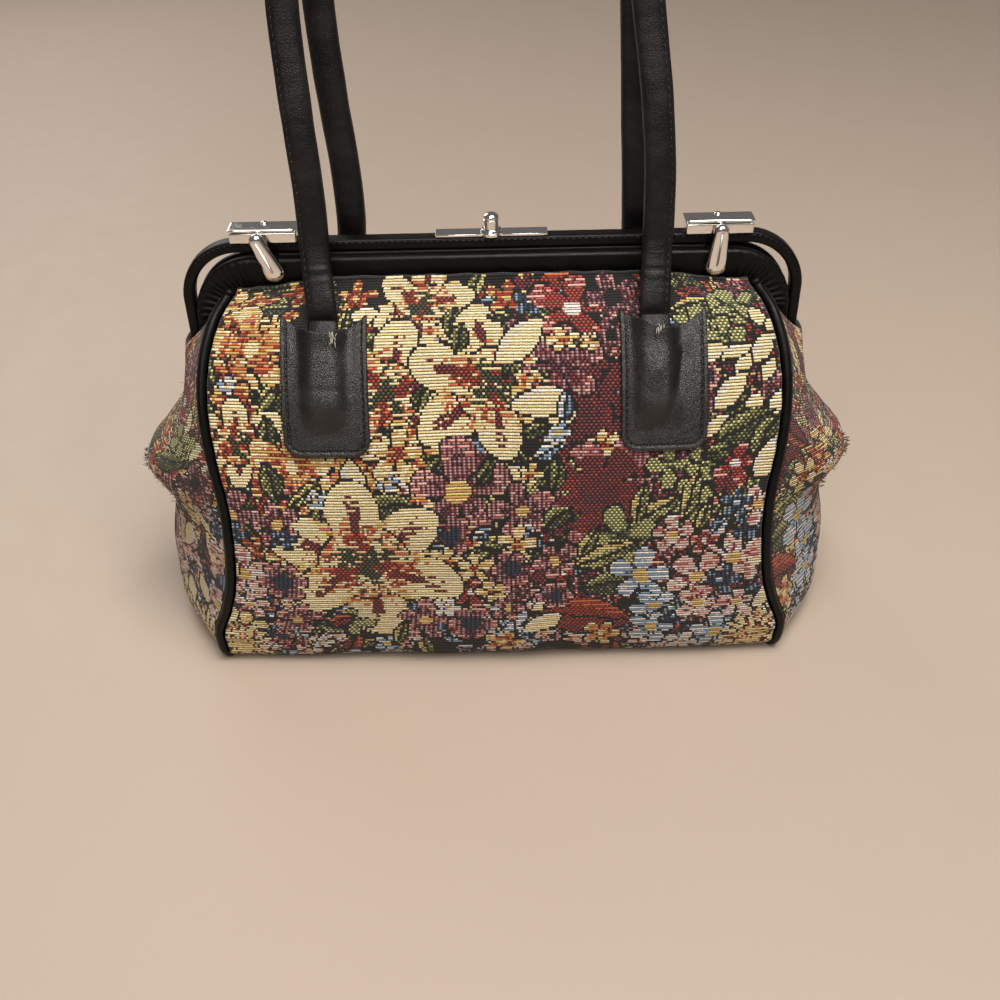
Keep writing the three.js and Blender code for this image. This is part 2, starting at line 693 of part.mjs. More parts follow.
// Clasp box with a blind hole in its front face for the lever's pin. Its origin is on the hoop, mid depth.
function claspBaseGeometry(leverShift) {
  const back = HOOP_DEPTH / 2 + CLEARANCE;
  const depth = CLASP_FRONT + back;
  const box = roundedPlate(CLASP_WIDTH, depth, CLASP_HEIGHT, 0.6);
  box.translate(0, (back - CLASP_FRONT) / 2, CLEARANCE);
  const holeDepth = LEVER_PIN_LENGTH - LEVER_RUNNING_GAP + CLEARANCE;
  const hole = new THREE.CylinderGeometry(
    LEVER_PIN_RADIUS + CLEARANCE,
    LEVER_PIN_RADIUS + CLEARANCE,
    2 * holeDepth,
    LATHE_SIDES,
  );
  hole.translate(leverShift, -CLASP_FRONT, CLEARANCE + CLASP_HEIGHT / 2);
  return geometryOfSolid(solidOf(box).subtract(solidOf(hole)));
}

// Thin cover with a rolled front edge and a low rivet head at the back.
function claspCoverGeometry() {
  const back = HOOP_DEPTH / 2 + CLEARANCE;
  const depth = CLASP_FRONT + back;
  const base = 2 * CLEARANCE + CLASP_HEIGHT;
  const plate = roundedPlate(CLASP_WIDTH + 1, depth, COVER_THICKNESS, 0.8);
  plate.translate(0, (back - CLASP_FRONT) / 2, base);
  const roll = new THREE.CylinderGeometry(COVER_THICKNESS * 0.8, COVER_THICKNESS * 0.8, CLASP_WIDTH, 12);
  roll.rotateZ(Math.PI / 2);
  roll.translate(0, -CLASP_FRONT + COVER_THICKNESS * 0.3, base + COVER_THICKNESS * 0.8);
  const rivet = new THREE.SphereGeometry(RIVET_RADIUS, 12, 8);
  rivet.scale(1, 1, 0.6);
  rivet.translate(0, back - RIVET_RADIUS, base + COVER_THICKNESS);
  return geometryOfSolid(solidOf(plate).add(solidOf(roll)).add(solidOf(rivet)));
}

// Teardrop lever with its pin, hanging from the origin; the pin points back along +Y.
function leverGeometry() {
  const soft = LEVER_THICKNESS * 0.44;
  const [top, tip] = [LEVER_TOP_RADIUS - soft, LEVER_TIP_RADIUS - soft];
  const tipCentre = -(LEVER_REACH - LEVER_TIP_RADIUS);
  const tilt = Math.asin((tip - top) / -tipCentre);
  const outline = new THREE.Shape();
  outline.absarc(0, 0, top, -tilt, Math.PI + tilt, false);
  outline.absarc(0, tipCentre, tip, Math.PI + tilt, 2 * Math.PI - tilt, false);
  outline.closePath();
  const body = new THREE.ExtrudeGeometry(outline, {
    depth: LEVER_THICKNESS - 2 * soft,
    bevelThickness: soft,
    bevelSize: soft,
    bevelSegments: 2,
    curveSegments: 5,
  });
  body.rotateX(Math.PI / 2);
  body.translate(0, -soft, 0);
  const pin = new THREE.CylinderGeometry(LEVER_PIN_RADIUS, LEVER_PIN_RADIUS, LEVER_PIN_LENGTH + soft, 10);
  pin.translate(0, (LEVER_PIN_LENGTH - soft) / 2, 0);
  return geometryOfSolid(solidOf(body).add(solidOf(pin)));
}

// Plate with a flared collar round the hole that the button slides in. Its origin is on the hoop.
function lockPlateGeometry() {
  const plate = roundedPlate(LOCK_PLATE_WIDTH, LOCK_PLATE_DEPTH, LOCK_PLATE_THICKNESS, 0.6);
  plate.translate(0, 0, CLEARANCE);
  const collar = new THREE.CylinderGeometry(
    LOCK_COLLAR_RADIUS * 0.85,
    LOCK_COLLAR_RADIUS,
    LOCK_COLLAR_HEIGHT,
    LATHE_SIDES,
  );
  collar.rotateX(Math.PI / 2);
  collar.translate(0, 0, CLEARANCE + LOCK_COLLAR_HEIGHT / 2);
  const hole = uprightCylinder(BUTTON_RADIUS + CLEARANCE, -1, LOCK_COLLAR_HEIGHT + 1, 24);
  const trimmed = solidOf(collar).intersect(solidOf(roundedPlate(LOCK_PLATE_WIDTH, HOOP_DEPTH + 4, 20, 1)));
  return geometryOfSolid(solidOf(plate).add(trimmed).subtract(solidOf(hole)));
}

// Domed button, standing its travel above the hoop.
function lockButtonGeometry() {
  const bottom = BUTTON_TRAVEL + CLEARANCE;
  const shoulder = BUTTON_TOP - BUTTON_RADIUS * 0.6;
  const profile = [new THREE.Vector2(0, bottom), new THREE.Vector2(BUTTON_RADIUS, bottom)];
  for (let i = 0; i <= 5; i += 1) {
    const angle = (i / 5) * (Math.PI / 2);
    const radius = i === 5 ? 0 : BUTTON_RADIUS * Math.cos(angle);
    profile.push(new THREE.Vector2(radius, shoulder + (BUTTON_TOP - shoulder) * Math.sin(angle)));
  }
  const geometry = new THREE.LatheGeometry(profile, LATHE_SIDES);
  geometry.rotateX(Math.PI / 2);
  return geometry;
}

// Assembly

const satchel = new THREE.Group();

function addPiece(parent, name, geometry, finish) {
  const mesh = new THREE.Mesh(geometry, new THREE.MeshStandardMaterial(finish));
  mesh.name = name;
  parent.add(mesh);
  return mesh;
}

// A copy of a geometry seen in a mirror across X or Y, with its faces still pointing out.
function mirrored(geometry, scaleX, scaleY) {
  const copy = geometry.clone().scale(scaleX, scaleY, 1);
  return scaleX * scaleY < 0 ? copy.setIndex(Array.from(copy.index.array).reverse()) : copy;
}

function closedForm(geometry) {
  const bare = geometry.clone();
  bare.deleteAttribute("normal");
  bare.deleteAttribute("uv");
  return facingOut(mergeVertices(bare, 1e-3));
}

const middleOfBody = new THREE.Vector3(0, 0, BODY_HEIGHT * 0.45);
const panel = sheet(panelSurface, middleOfBody, CLOTH, PANEL_ACROSS, PANEL_UP);
addPiece(satchel, "front_panel", panel, tapestry);
addPiece(satchel, "back_panel", mirrored(panel, 1, -1), tapestry);

const gusset = sheet(gussetSurface, middleOfBody, CLOTH, GUSSET_ACROSS, GUSSET_UP);
addPiece(satchel, "gusset_right", gusset, tapestry);
addPiece(satchel, "gusset_left", mirrored(gusset, -1, 1), tapestry);

const basePanel = new THREE.ExtrudeGeometry(baseOutline(), { depth: CLOTH, bevelEnabled: false });
addPiece(satchel, "base_panel", closedForm(basePanel), tapestry);

const upAndOut = new THREE.Vector3(1, 0, 0);
const pipingSection = ellipseSection(PIPING_RADIUS, PIPING_RADIUS, ROUND_SIDES);
const piping = barThrough(ringsAlong(pipingCurve(), PIPING_STEPS, () => upAndOut, () => pipingSection));
addPiece(satchel, "piping_right", piping, leather);
addPiece(satchel, "piping_left", mirrored(piping, -1, 1), leather);

addPiece(satchel, "frame_hoop", hoopGeometry(), leather);
const facing = facingGeometry();
addPiece(satchel, "front_facing", facing, leather);
addPiece(satchel, "back_facing", mirrored(facing, 1, -1), leather);

const handleSides = [
  { face: "front", rows: FRONT_HANDLE_ROWS, scaleY: 1 },
  { face: "back", rows: BACK_HANDLE_ROWS, scaleY: -1 },
];
for (const { face, rows, scaleY } of handleSides) {
  const handle = mirrored(handleGeometry(rows), 1, scaleY);
  const leftTab = mirrored(tabGeometry(-TAB_SPREAD, TAB_SPREAD * rows[0].left), 1, scaleY);
  const rightTab = mirrored(tabGeometry(TAB_SPREAD, TAB_SPREAD * rows[0].right), 1, scaleY);
  addPiece(satchel, `handle_${face}`, handle, leather);
  addPiece(satchel, `handle_tab_${face}_left`, leftTab, leather);
  addPiece(satchel, `handle_tab_${face}_right`, rightTab, leather);
}

const claspSides = [
  { side: "left", sign: -1, shift: LEFT_LEVER_SHIFT, lean: -LEFT_LEVER_LEAN },
  { side: "right", sign: 1, shift: RIGHT_LEVER_SHIFT, lean: RIGHT_LEVER_LEAN },
];
for (const { side, sign, shift, lean } of claspSides) {
  const clasp = new THREE.Group();
  clasp.position.set(sign * CLASP_SPREAD, 0, HOOP_TOP);
  addPiece(clasp, `clasp_base_${side}`, claspBaseGeometry(shift), chrome);
  addPiece(clasp, `clasp_cover_${side}`, claspCoverGeometry(), chrome);
  const lever = addPiece(clasp, `clasp_lever_${side}`, leverGeometry(), chrome);
  lever.position.set(shift, -CLASP_FRONT - LEVER_RUNNING_GAP, PIVOT_HEIGHT - HOOP_TOP);
  lever.rotation.y = THREE.MathUtils.degToRad(lean);
  satchel.add(clasp);
}

const lock = new THREE.Group();
lock.position.set(0, 0, HOOP_TOP);
addPiece(lock, "lock_plate", lockPlateGeometry(), chrome);
addPiece(lock, "lock_button", closedForm(lockButtonGeometry()), chrome);
satchel.add(lock);

export default satchel;
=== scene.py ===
"""Dresses the tapestry satchel: woven cloth body, leather frame and handles, chrome fittings, threads."""
import logging
import math
from dataclasses import dataclass
from enum import Enum, IntEnum
from typing import Sequence

import bpy
import numpy as np
from mathutils import Matrix, Vector
from numpy.typing import NDArray


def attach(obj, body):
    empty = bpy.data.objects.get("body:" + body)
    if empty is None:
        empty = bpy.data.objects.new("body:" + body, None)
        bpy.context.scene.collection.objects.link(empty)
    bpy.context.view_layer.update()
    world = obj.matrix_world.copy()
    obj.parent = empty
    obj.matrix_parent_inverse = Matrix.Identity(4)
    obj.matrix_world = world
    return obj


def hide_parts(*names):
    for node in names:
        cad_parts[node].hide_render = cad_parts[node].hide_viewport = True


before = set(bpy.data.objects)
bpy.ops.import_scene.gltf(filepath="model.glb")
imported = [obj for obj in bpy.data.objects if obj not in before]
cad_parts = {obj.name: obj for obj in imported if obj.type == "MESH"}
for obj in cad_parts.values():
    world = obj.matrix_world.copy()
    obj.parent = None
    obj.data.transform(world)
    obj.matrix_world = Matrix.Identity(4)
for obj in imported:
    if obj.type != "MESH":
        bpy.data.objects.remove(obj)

Array = NDArray[np.float64]
Color = tuple[float, float, float, float]
log = logging.getLogger("satchel")
MM = 0.001
THREADS = 400.0  # weave cells to one unit of the UV map


class Seed(IntEnum):
    """Which random lattice or series each uneven surface uses."""

    CLOTH_WEAR = 5
    SLACK = 21
    SMALL_SLACK = 22
    PUCKER = 23
    MOUTH = 24
    FRONT = 31
    BACK = 32
    SIDE_SLACK = 41
    SIDE_SMALL_SLACK = 42
    RIGHT_SIDE = 51
    LEFT_SIDE = 52
    BASE = 61
    PIPING_WRINKLE = 71
    PIPING_WAVE = 72
    HOOP = 81
    GATHERS = 91
    FACING = 92
    STRAP = 101
    STRAP_BENDS = 102
    TAB = 111
    WORN_THREAD = 120
    EAR_FRINGE = 131
    SIDE_FRINGE = 141


# Numbers and curves


def smooth_step(low: float, high: float, value: Array | float) -> Array:
    """A soft step: 3 s^2 - 2 s^3 of the share s of value between low and high.

    Args:
        low: where the step starts, at 0.
        high: where it ends, at 1.
        value: what is read.

    Returns:
        The step for each value.
    """
    share = np.clip((np.asarray(value, float) - low) / (high - low), 0.0, 1.0)
    return share * share * (3.0 - 2.0 * share)


def smooth_rows(rows: Array, share: Array | float) -> Array:
    """A smooth curve through the rows of a table, by centripetal Catmull-Rom pieces.

    Each piece is the cubic whose end slopes come from the neighbouring rows, weighted with the square
    roots of the distances between rows.

    Args:
        rows: one row for each station, with any number of columns.
        share: places from 0, the first row, to 1, the last.

    Returns:
        The table's columns at each place, as the last axis.
    """
    padded = np.vstack([2 * rows[0] - rows[1], rows, 2 * rows[-1] - rows[-2]])
    place = np.clip(np.asarray(share, float), 0.0, 1.0) * (len(rows) - 1)
    piece = np.minimum(place.astype(int), len(rows) - 2)
    weight = (place - piece)[..., None]
    before, start, end, after = (padded[piece + k] for k in range(4))
    gaps = np.sqrt(np.linalg.norm(np.diff(padded, axis=0), axis=1))
    gap0, gap1, gap2 = (gaps[piece + k][..., None] for k in range(3))
    slope0 = ((start - before) / gap0 - (end - before) / (gap0 + gap1) + (end - start) / gap1) * gap1
    slope1 = ((end - start) / gap1 - (after - start) / (gap1 + gap2) + (after - end) / gap2) * gap1
    cubic = 2 * start - 2 * end + slope0 + slope1
    square = -3 * start + 3 * end - 2 * slope0 - slope1
    return start + weight * (slope0 + weight * (square + weight * cubic))


def soft_noise(x: Array, y: Array, size: float, seed: int) -> Array:
    """Value noise: random numbers on a square lattice, blended with soft steps between its points.

    Args:
        x: first coordinate.
        y: second coordinate.
        size: distance between lattice points.
        seed: which lattice.

    Returns:
        Numbers between about -1 and 1.
    """
    lattice = np.random.default_rng(seed).uniform(-1.0, 1.0, (64, 64))
    across, along = np.asarray(x) / size, np.asarray(y) / size
    i, j = np.floor(across).astype(int), np.floor(along).astype(int)
    a, b = smooth_step(0, 1, across - i), smooth_step(0, 1, along - j)
    corner = lattice[i % 64, j % 64] * (1 - a) + lattice[(i + 1) % 64, j % 64] * a
    above = lattice[i % 64, (j + 1) % 64] * (1 - a) + lattice[(i + 1) % 64, (j + 1) % 64] * a
    return corner * (1 - b) + above * b


def unit(vectors: Array) -> Array:
    """Each vector of the last axis divided by its length."""
    return vectors / np.maximum(np.linalg.norm(vectors, axis=-1, keepdims=True), 1e-12)


def lengths_along(points: Array) -> Array:
    """The length of a line up to each of its points."""
    return np.concatenate([[0], np.cumsum(np.linalg.norm(np.diff(points, axis=0), axis=1))])


def read_line(points: Array, stations: Array, where: Array) -> Array:
    """Points of a line at places between its stations."""
    return np.stack([np.interp(where, stations, points[:, k]) for k in range(3)], axis=-1)


def even_turn(count: int) -> Array:
    """Angles of that many equal steps round a full turn."""
    return np.arange(count) / count * 2 * np.pi


def cell_middles(grid: Array) -> Array:
    """The value in the middle of each cell of a grid of values."""
    return (grid[:-1, :-1] + grid[1:, 1:]) / 2


def grid_normals(points: Array) -> Array:
    """Unit normals of a grid of points: the cross product of its two directions of travel."""
    along, across = np.gradient(points, axis=(0, 1))
    return unit(np.cross(across, along))


# Meshes


def make_object(name: str, points: Array, faces: list[list[int]], sharp_angle: float | None = None) -> bpy.types.Object:
    """Puts a mesh into the scene, with its faces turned outwards and shaded smooth.

    Args:
        name: the piece's name.
        points: vertices in millimetres.
        faces: vertex numbers of each face.
        sharp_angle: edges that bend more than this, in degrees, stay sharp.

    Returns:
        The new object, at the origin.
    """
    corners = np.array([(face[0], face[1], face[2]) for face in faces])
    far = np.array([(face[0], face[2], face[-1]) for face in faces])
    vertices = points.reshape(-1, 3)
    volume = sum(float(np.einsum("ij,ij->", vertices[part[:, 0]], np.cross(vertices[part[:, 1]], vertices[part[:, 2]])))
                 for part in (corners, far))
    if volume < 0:
        faces = [face[::-1] for face in faces]
    mesh = bpy.data.meshes.new(name)
    mesh.from_pydata((vertices * MM).tolist(), [], faces)
    mesh.validate()
    mesh.shade_smooth()
    if sharp_angle is not None:
        mesh.set_sharp_from_angle(angle=math.radians(sharp_angle))
    made = bpy.data.objects.new(name, mesh)
    bpy.context.scene.collection.objects.link(made)
    return made


def grid_faces(rows: int, columns: int, start: int = 0, wrap: bool = False) -> list[list[int]]:
    """Four-sided faces of a grid whose vertices are counted row by row.

    Args:
        rows: number of vertex rows.
        columns: number of vertices in a row.
        start: number of the first vertex.
        wrap: whether the last column joins the first.

    Returns:
        A list of vertex numbers for each face.
    """
    i = np.arange(columns if wrap else columns - 1)
    j = np.arange(rows - 1)[:, None]
    a, b = j * columns + i, j * columns + (i + 1) % columns
    quads = np.stack([a, b, b + columns, a + columns], axis=-1).reshape(-1, 4) + start
    return quads.tolist()


def closed_sheet(name: str, outer: Array, inner: Array) -> bpy.types.Object:
    """A closed wall between two grids of points, joined round their rim.

    The outer grid's faces come first, so that face number row x columns + column is the outer cell.

    Args:
        name: the piece's name.
        outer: grid of outer points in millimetres.
        inner: grid of inner points, as many.

    Returns:
        The sheet's object.
    """
    rows, columns = outer.shape[:2]
    count = rows * columns
    faces = grid_faces(rows, columns)
    faces += [face[::-1] for face in grid_faces(rows, columns, count)]
    rim = list(range(columns - 1))
    rim += [j * columns + columns - 1 for j in range(rows - 1)]
    rim += [(rows - 1) * columns + i for i in range(columns - 1, 0, -1)]
    rim += [j * columns for j in range(rows - 1, 0, -1)]
    faces += [[b, a, a + count, b + count] for a, b in zip(rim, rim[1:] + rim[:1])]
    return make_object(name, np.concatenate([outer.reshape(-1, 3), inner.reshape(-1, 3)]), faces)


def closed_bar(name: str, rings: Array, sharp_angle: float | None = None) -> bpy.types.Object:
    """A closed bar through rings of points, with a flat face on each end.

    Args:
        name: the piece's name.
        rings: stations x points x 3, in millimetres.
        sharp_angle: edges that bend more than this, in degrees, stay sharp.

    Returns:
        The bar's object.
    """
    stations, sides = rings.shape[:2]
    faces = grid_faces(stations, sides, wrap=True)
    last = (stations - 1) * sides
    faces += [list(range(sides))[::-1], list(range(last, last + sides))]
    return make_object(name, rings, faces, sharp_angle)


def rings_along(path: Array, facing: Array, section: Array) -> Array:
    """Carries a section along a path: each ring is path + side x wide + face x thick.

    Args:
        path: stations x 3.
        facing: a direction for thick, made square to the path, for all stations or for each.
        section: points x 2, or stations x points x 2, of wide and thick.

    Returns:
        Rings of stations x points x 3.
    """
    tangent = unit(np.gradient(path, axis=0))
    face = np.broadcast_to(facing, path.shape)
    face = unit(face - tangent * np.sum(face * tangent, axis=1, keepdims=True))
    side = np.cross(tangent, face)
    section = np.broadcast_to(section, (len(path), *section.shape[-2:]))
    return path[:, None] + side[:, None] * section[..., :1] + face[:, None] * section[..., 1:]


def even_path(points: Array, count: int) -> Array:
    """Points at equal distances along the smooth curve through a few chosen points."""
    dense = smooth_rows(points, np.linspace(0, 1, 2000))
    length = lengths_along(dense)
    where = np.interp(np.linspace(0, length[-1], count), length, np.arange(len(dense)))
    low = np.minimum(where.astype(int), len(dense) - 2)
    return dense[low] + (dense[low + 1] - dense[low]) * (where - low)[:, None]


def round_section(wide: float, thick: float, sides: int, squareness: float = 1.0) -> Array:
    """Section whose points are (wide cos^k, thick sin^k) of even angles; k under 1 squares it."""
    angle = (np.arange(sides) + 0.5) / sides * 2 * np.pi
    round_points = np.stack([np.cos(angle), np.sin(angle)], axis=-1)
    return np.sign(round_points) * np.abs(round_points) ** squareness * np.array([wide, thick])


def turned_form(name: str, profile: Array, sides: int = 48) -> bpy.types.Object:
    """A form turned about the vertical axis from a profile of radius and height that starts and ends on it.

    Args:
        name: the piece's name.
        profile: rows of radius and height, in millimetres.
        sides: how many faces go round.

    Returns:
        The form's object.
    """
    angle = even_turn(sides)
    ring = np.stack([np.cos(angle), np.sin(angle), np.zeros(sides)], axis=-1)
    rings = profile[1:-1, None, :1] * ring + profile[1:-1, None, 1:] * np.array([0.0, 0.0, 1.0])
    count = rings.shape[0] * sides
    faces = grid_faces(rings.shape[0], sides, wrap=True)
    faces += [[count, (i + 1) % sides, i] for i in range(sides)]
    last = count - sides
    faces += [[count + 1, last + i, last + (i + 1) % sides] for i in range(sides)]
    poles = np.array([[0, 0, profile[0, 1]], [0, 0, profile[-1, 1]]])
    return make_object(name, np.concatenate([rings.reshape(-1, 3), poles]), faces, 40)


def thread_pieces(name: str, starts: Array, ends: Array, radius: float, lift: Array) -> bpy.types.Object:
    """Short stitches as one mesh: each is a six-sided spindle that rises along lift in its middle.

    Args:
        name: the piece's name.
        starts: where each stitch goes in, in millimetres.
        ends: where it comes out.
        radius: the thread's radius.
        lift: the direction and height of the rise, for each stitch.

    Returns:
        The stitches' object.
    """
    stations, sides = 5, 6
    share = np.linspace(0, 1, stations)
    arch = np.sin(share * np.pi)
    middle = starts[:, None] + (ends - starts)[:, None] * share[:, None] + lift[:, None] * arch[:, None]
    along = unit(ends - starts)
    up = unit(lift)
    side = np.cross(along, up)
    angle = even_turn(sides)
    size = radius * (0.45 + 0.55 * np.sqrt(arch))
    ring = side[:, None, None] * np.cos(angle)[:, None] + up[:, None, None] * np.sin(angle)[:, None]
    points = middle[:, :, None] + ring * size[:, None, None]
    one = grid_faces(stations, sides, wrap=True)
    one += [list(range(sides))[::-1], list(range((stations - 1) * sides, stations * sides))]
    step = stations * sides
    faces = [[corner + k * step for corner in face] for k in range(len(starts)) for face in one]
    return make_object(name, points.reshape(-1, 3), faces)


def join_pieces(name: str, objects: Sequence[bpy.types.Object]) -> bpy.types.Object:
    """Joins several new meshes into one piece of that name."""
    bpy.ops.object.select_all(action="DESELECT")
    for other in objects:
        other.select_set(True)
    bpy.context.view_layer.objects.active = objects[0]
    bpy.ops.object.join()
    joined = objects[0]
    joined.name = name
    joined.data.name = name
    joined.select_set(False)
    return joined


# Materials


class Graph:
    """A material's or group's node tree, with short calls to add nodes."""

    def __init__(self, tree: bpy.types.NodeTree) -> None:
        """Takes the tree that the nodes go into."""
        self.tree = tree

    def add(self, kind: str, inputs: dict[str | int, object] | None = None, **settings: object) -> bpy.types.Node:
        """Adds a node.

        Args:
            kind: Blender's name of the node type.
            inputs: values or sockets for its inputs, by name or number.
            settings: its own settings.

        Returns:
            The node.
        """
        node = self.tree.nodes.new(kind)
        for name, value in settings.items():
            setattr(node, name, value)
        for name, value in (inputs or {}).items():
            if isinstance(value, bpy.types.NodeSocket):
                self.tree.links.new(value, node.inputs[name])
            else:
                node.inputs[name].default_value = value
        return node

    def math(self, operation: str, *values: object) -> bpy.types.NodeSocket:
        """The result of a Math node of that operation on the values or sockets."""
        return self.add("ShaderNodeMath", dict(enumerate(values)), operation=operation).outputs[0]

    def weighted(self, *terms: tuple[object, float]) -> bpy.types.NodeSocket:
        """The sum of values, each times its weight."""
        parts = [self.math("MULTIPLY", value, weight) for value, weight in terms]
        total = parts[0]
        for part in parts[1:]:
            total = self.math("ADD", total, part)
        return total

    def mix(self, factor: object, first: object, second: object) -> bpy.types.NodeSocket:
        """The colour from first to second by factor."""
        node = self.add("ShaderNodeMix", data_type="RGBA", blend_type="MIX")
        for place, value in ((0, factor), (6, first), (7, second)):
            if isinstance(value, bpy.types.NodeSocket):
                self.tree.links.new(value, node.inputs[place])
            else:
                node.inputs[place].default_value = value
        return node.outputs[2]

    def range(self, value: object, low: float, high: float, to_low: float = 0.0,
              to_high: float = 1.0) -> bpy.types.NodeSocket:
        """A value mapped from one range to another, and held inside it."""
        return self.add("ShaderNodeMapRange", {0: value, 1: low, 2: high, 3: to_low, 4: to_high}).outputs[0]

    def noise(self, place: object, scale: float, detail: float = 3.0, roughness: float = 0.55) -> bpy.types.NodeSocket:
        """The value of a Noise node at a place."""
        return self.add("ShaderNodeTexNoise", {"Vector": place, "Scale": scale, "Detail": detail,
                                               "Roughness": roughness}).outputs[0]

    def object_place(self) -> bpy.types.NodeSocket:
        """The Object coordinates."""
        return self.add("ShaderNodeTexCoord").outputs["Object"]

    def feed(self, shader: bpy.types.Node, name: str, value: bpy.types.NodeSocket) -> None:
        """Leads a socket into one of the shader's inputs."""
        self.tree.links.new(value, shader.inputs[name])

    def bump(self, shader: bpy.types.Node, strength: float, distance: float, height: bpy.types.NodeSocket) -> None:
        """Bends the shader's normal by a height."""
        node = self.add("ShaderNodeBump", {"Strength": strength, "Distance": distance, "Height": height})
        self.feed(shader, "Normal", node.outputs[0])


def grain_group() -> bpy.types.NodeTree:
    """Node group of leather grain: pebbles from cells, creases from a coarser noise, and worn patches.

    Returns:
        The group, with Scale in, and Height and Wear out.
    """
    name = "leather_grain"
    if name in bpy.data.node_groups:
        return bpy.data.node_groups[name]
    tree = bpy.data.node_groups.new(name, "ShaderNodeTree")
    for socket, way in (("Scale", "INPUT"), ("Height", "OUTPUT"), ("Wear", "OUTPUT")):
        tree.interface.new_socket(socket, in_out=way, socket_type="NodeSocketFloat")
    graph = Graph(tree)
    scale = graph.add("NodeGroupInput").outputs["Scale"]
    place = graph.object_place()
    cells = graph.add("ShaderNodeTexVoronoi", {"Vector": place, "Scale": scale}, feature="DISTANCE_TO_EDGE")
    pebble = graph.range(cells.outputs["Distance"], 0.0, 0.35)
    fine = graph.noise(place, 2600.0, 3.0, 0.7)
    creases = graph.noise(place, 420.0, 5.0, 0.6)
    height = graph.weighted((pebble, 0.55), (fine, 0.35), (creases, 0.8))
    wear = graph.range(graph.noise(place, 55.0, 5.0, 0.62), 0.45, 0.72)
    graph.add("NodeGroupOutput", {"Height": height, "Wear": wear})
    return tree


def blank_material(name: str) -> tuple[bpy.types.Material, Graph, bpy.types.Node]:
    """A new material with its graph and its Principled shader, already joined to the output."""
    material = bpy.data.materials.new(name)
    material.use_nodes = True
    graph = Graph(material.node_tree)
    shader = material.node_tree.nodes["Principled BSDF"]
    return material, graph, shader


@dataclass(frozen=True)
class LeatherFinish:
    """Soft black leather: grain, worn paler patches and a low sheen."""

    name: str
    color: Color
    worn: Color
    roughness: float
    pebble: float
    bump: float
    shine: float

    def material(self) -> bpy.types.Material:
        """The finish as a material."""
        material, graph, shader = blank_material(self.name)
        grain = graph.add("ShaderNodeGroup", node_tree=grain_group())
        grain.inputs["Scale"].default_value = self.pebble
        wear, height = grain.outputs["Wear"], grain.outputs["Height"]
        graph.feed(shader, "Base Color", graph.mix(graph.math("MULTIPLY", wear, 0.55), self.color, self.worn))
        rough = graph.weighted((wear, 0.16), (height, 0.08))
        graph.feed(shader, "Roughness", graph.math("ADD", rough, self.roughness - 0.08))
        graph.bump(shader, self.bump, 0.0004, height)
        shader.inputs["Specular IOR Level"].default_value = self.shine
        return material


@dataclass(frozen=True)
class ChromeFinish:
    """Polished chrome plate with faint smears and hairline scratches."""

    name: str = "chrome_plate"
    color: Color = (0.86, 0.84, 0.82, 1.0)
    smeared: Color = (0.62, 0.58, 0.54, 1.0)

    def material(self) -> bpy.types.Material:
        """The finish as a material."""
        material, graph, shader = blank_material(self.name)
        place = graph.object_place()
        smear = graph.noise(place, 210.0, 4.0, 0.6)
        stretched = graph.add("ShaderNodeMapping", {"Vector": place, "Scale": (400.0, 400.0, 5200.0)}).outputs[0]
        hair = graph.noise(stretched, 1.0, 2.0, 0.5)
        graph.feed(shader, "Base Color", graph.mix(graph.range(smear, 0.5, 0.8, 0.0, 0.35), self.color, self.smeared))
        rough = graph.math("ADD", graph.range(smear, 0.4, 0.8, 0.05, 0.2), graph.range(hair, 0.6, 0.8, 0.0, 0.12))
        graph.feed(shader, "Roughness", rough)
        graph.bump(shader, 0.06, 0.0002, hair)
        shader.inputs["Metallic"].default_value = 1.0
        return material


@dataclass(frozen=True)
class ThreadFinish:
    """Twisted sewing or weaving thread in one colour, with a slight mottling."""

    name: str
    color: Color
    roughness: float = 0.6

    def material(self) -> bpy.types.Material:
        """The finish as a material."""
        material, graph, shader = blank_material(self.name)
        place = graph.object_place()
        twist = graph.noise(place, 1900.0, 2.0, 0.6)
        dark = tuple(0.45 * part for part in self.color[:3]) + (1.0,)
        graph.feed(shader, "Base Color", graph.mix(graph.range(twist, 0.35, 0.65), dark, self.color))
        graph.bump(shader, 0.4, 0.0002, twist)
        shader.inputs["Roughness"].default_value = self.roughness
        return material


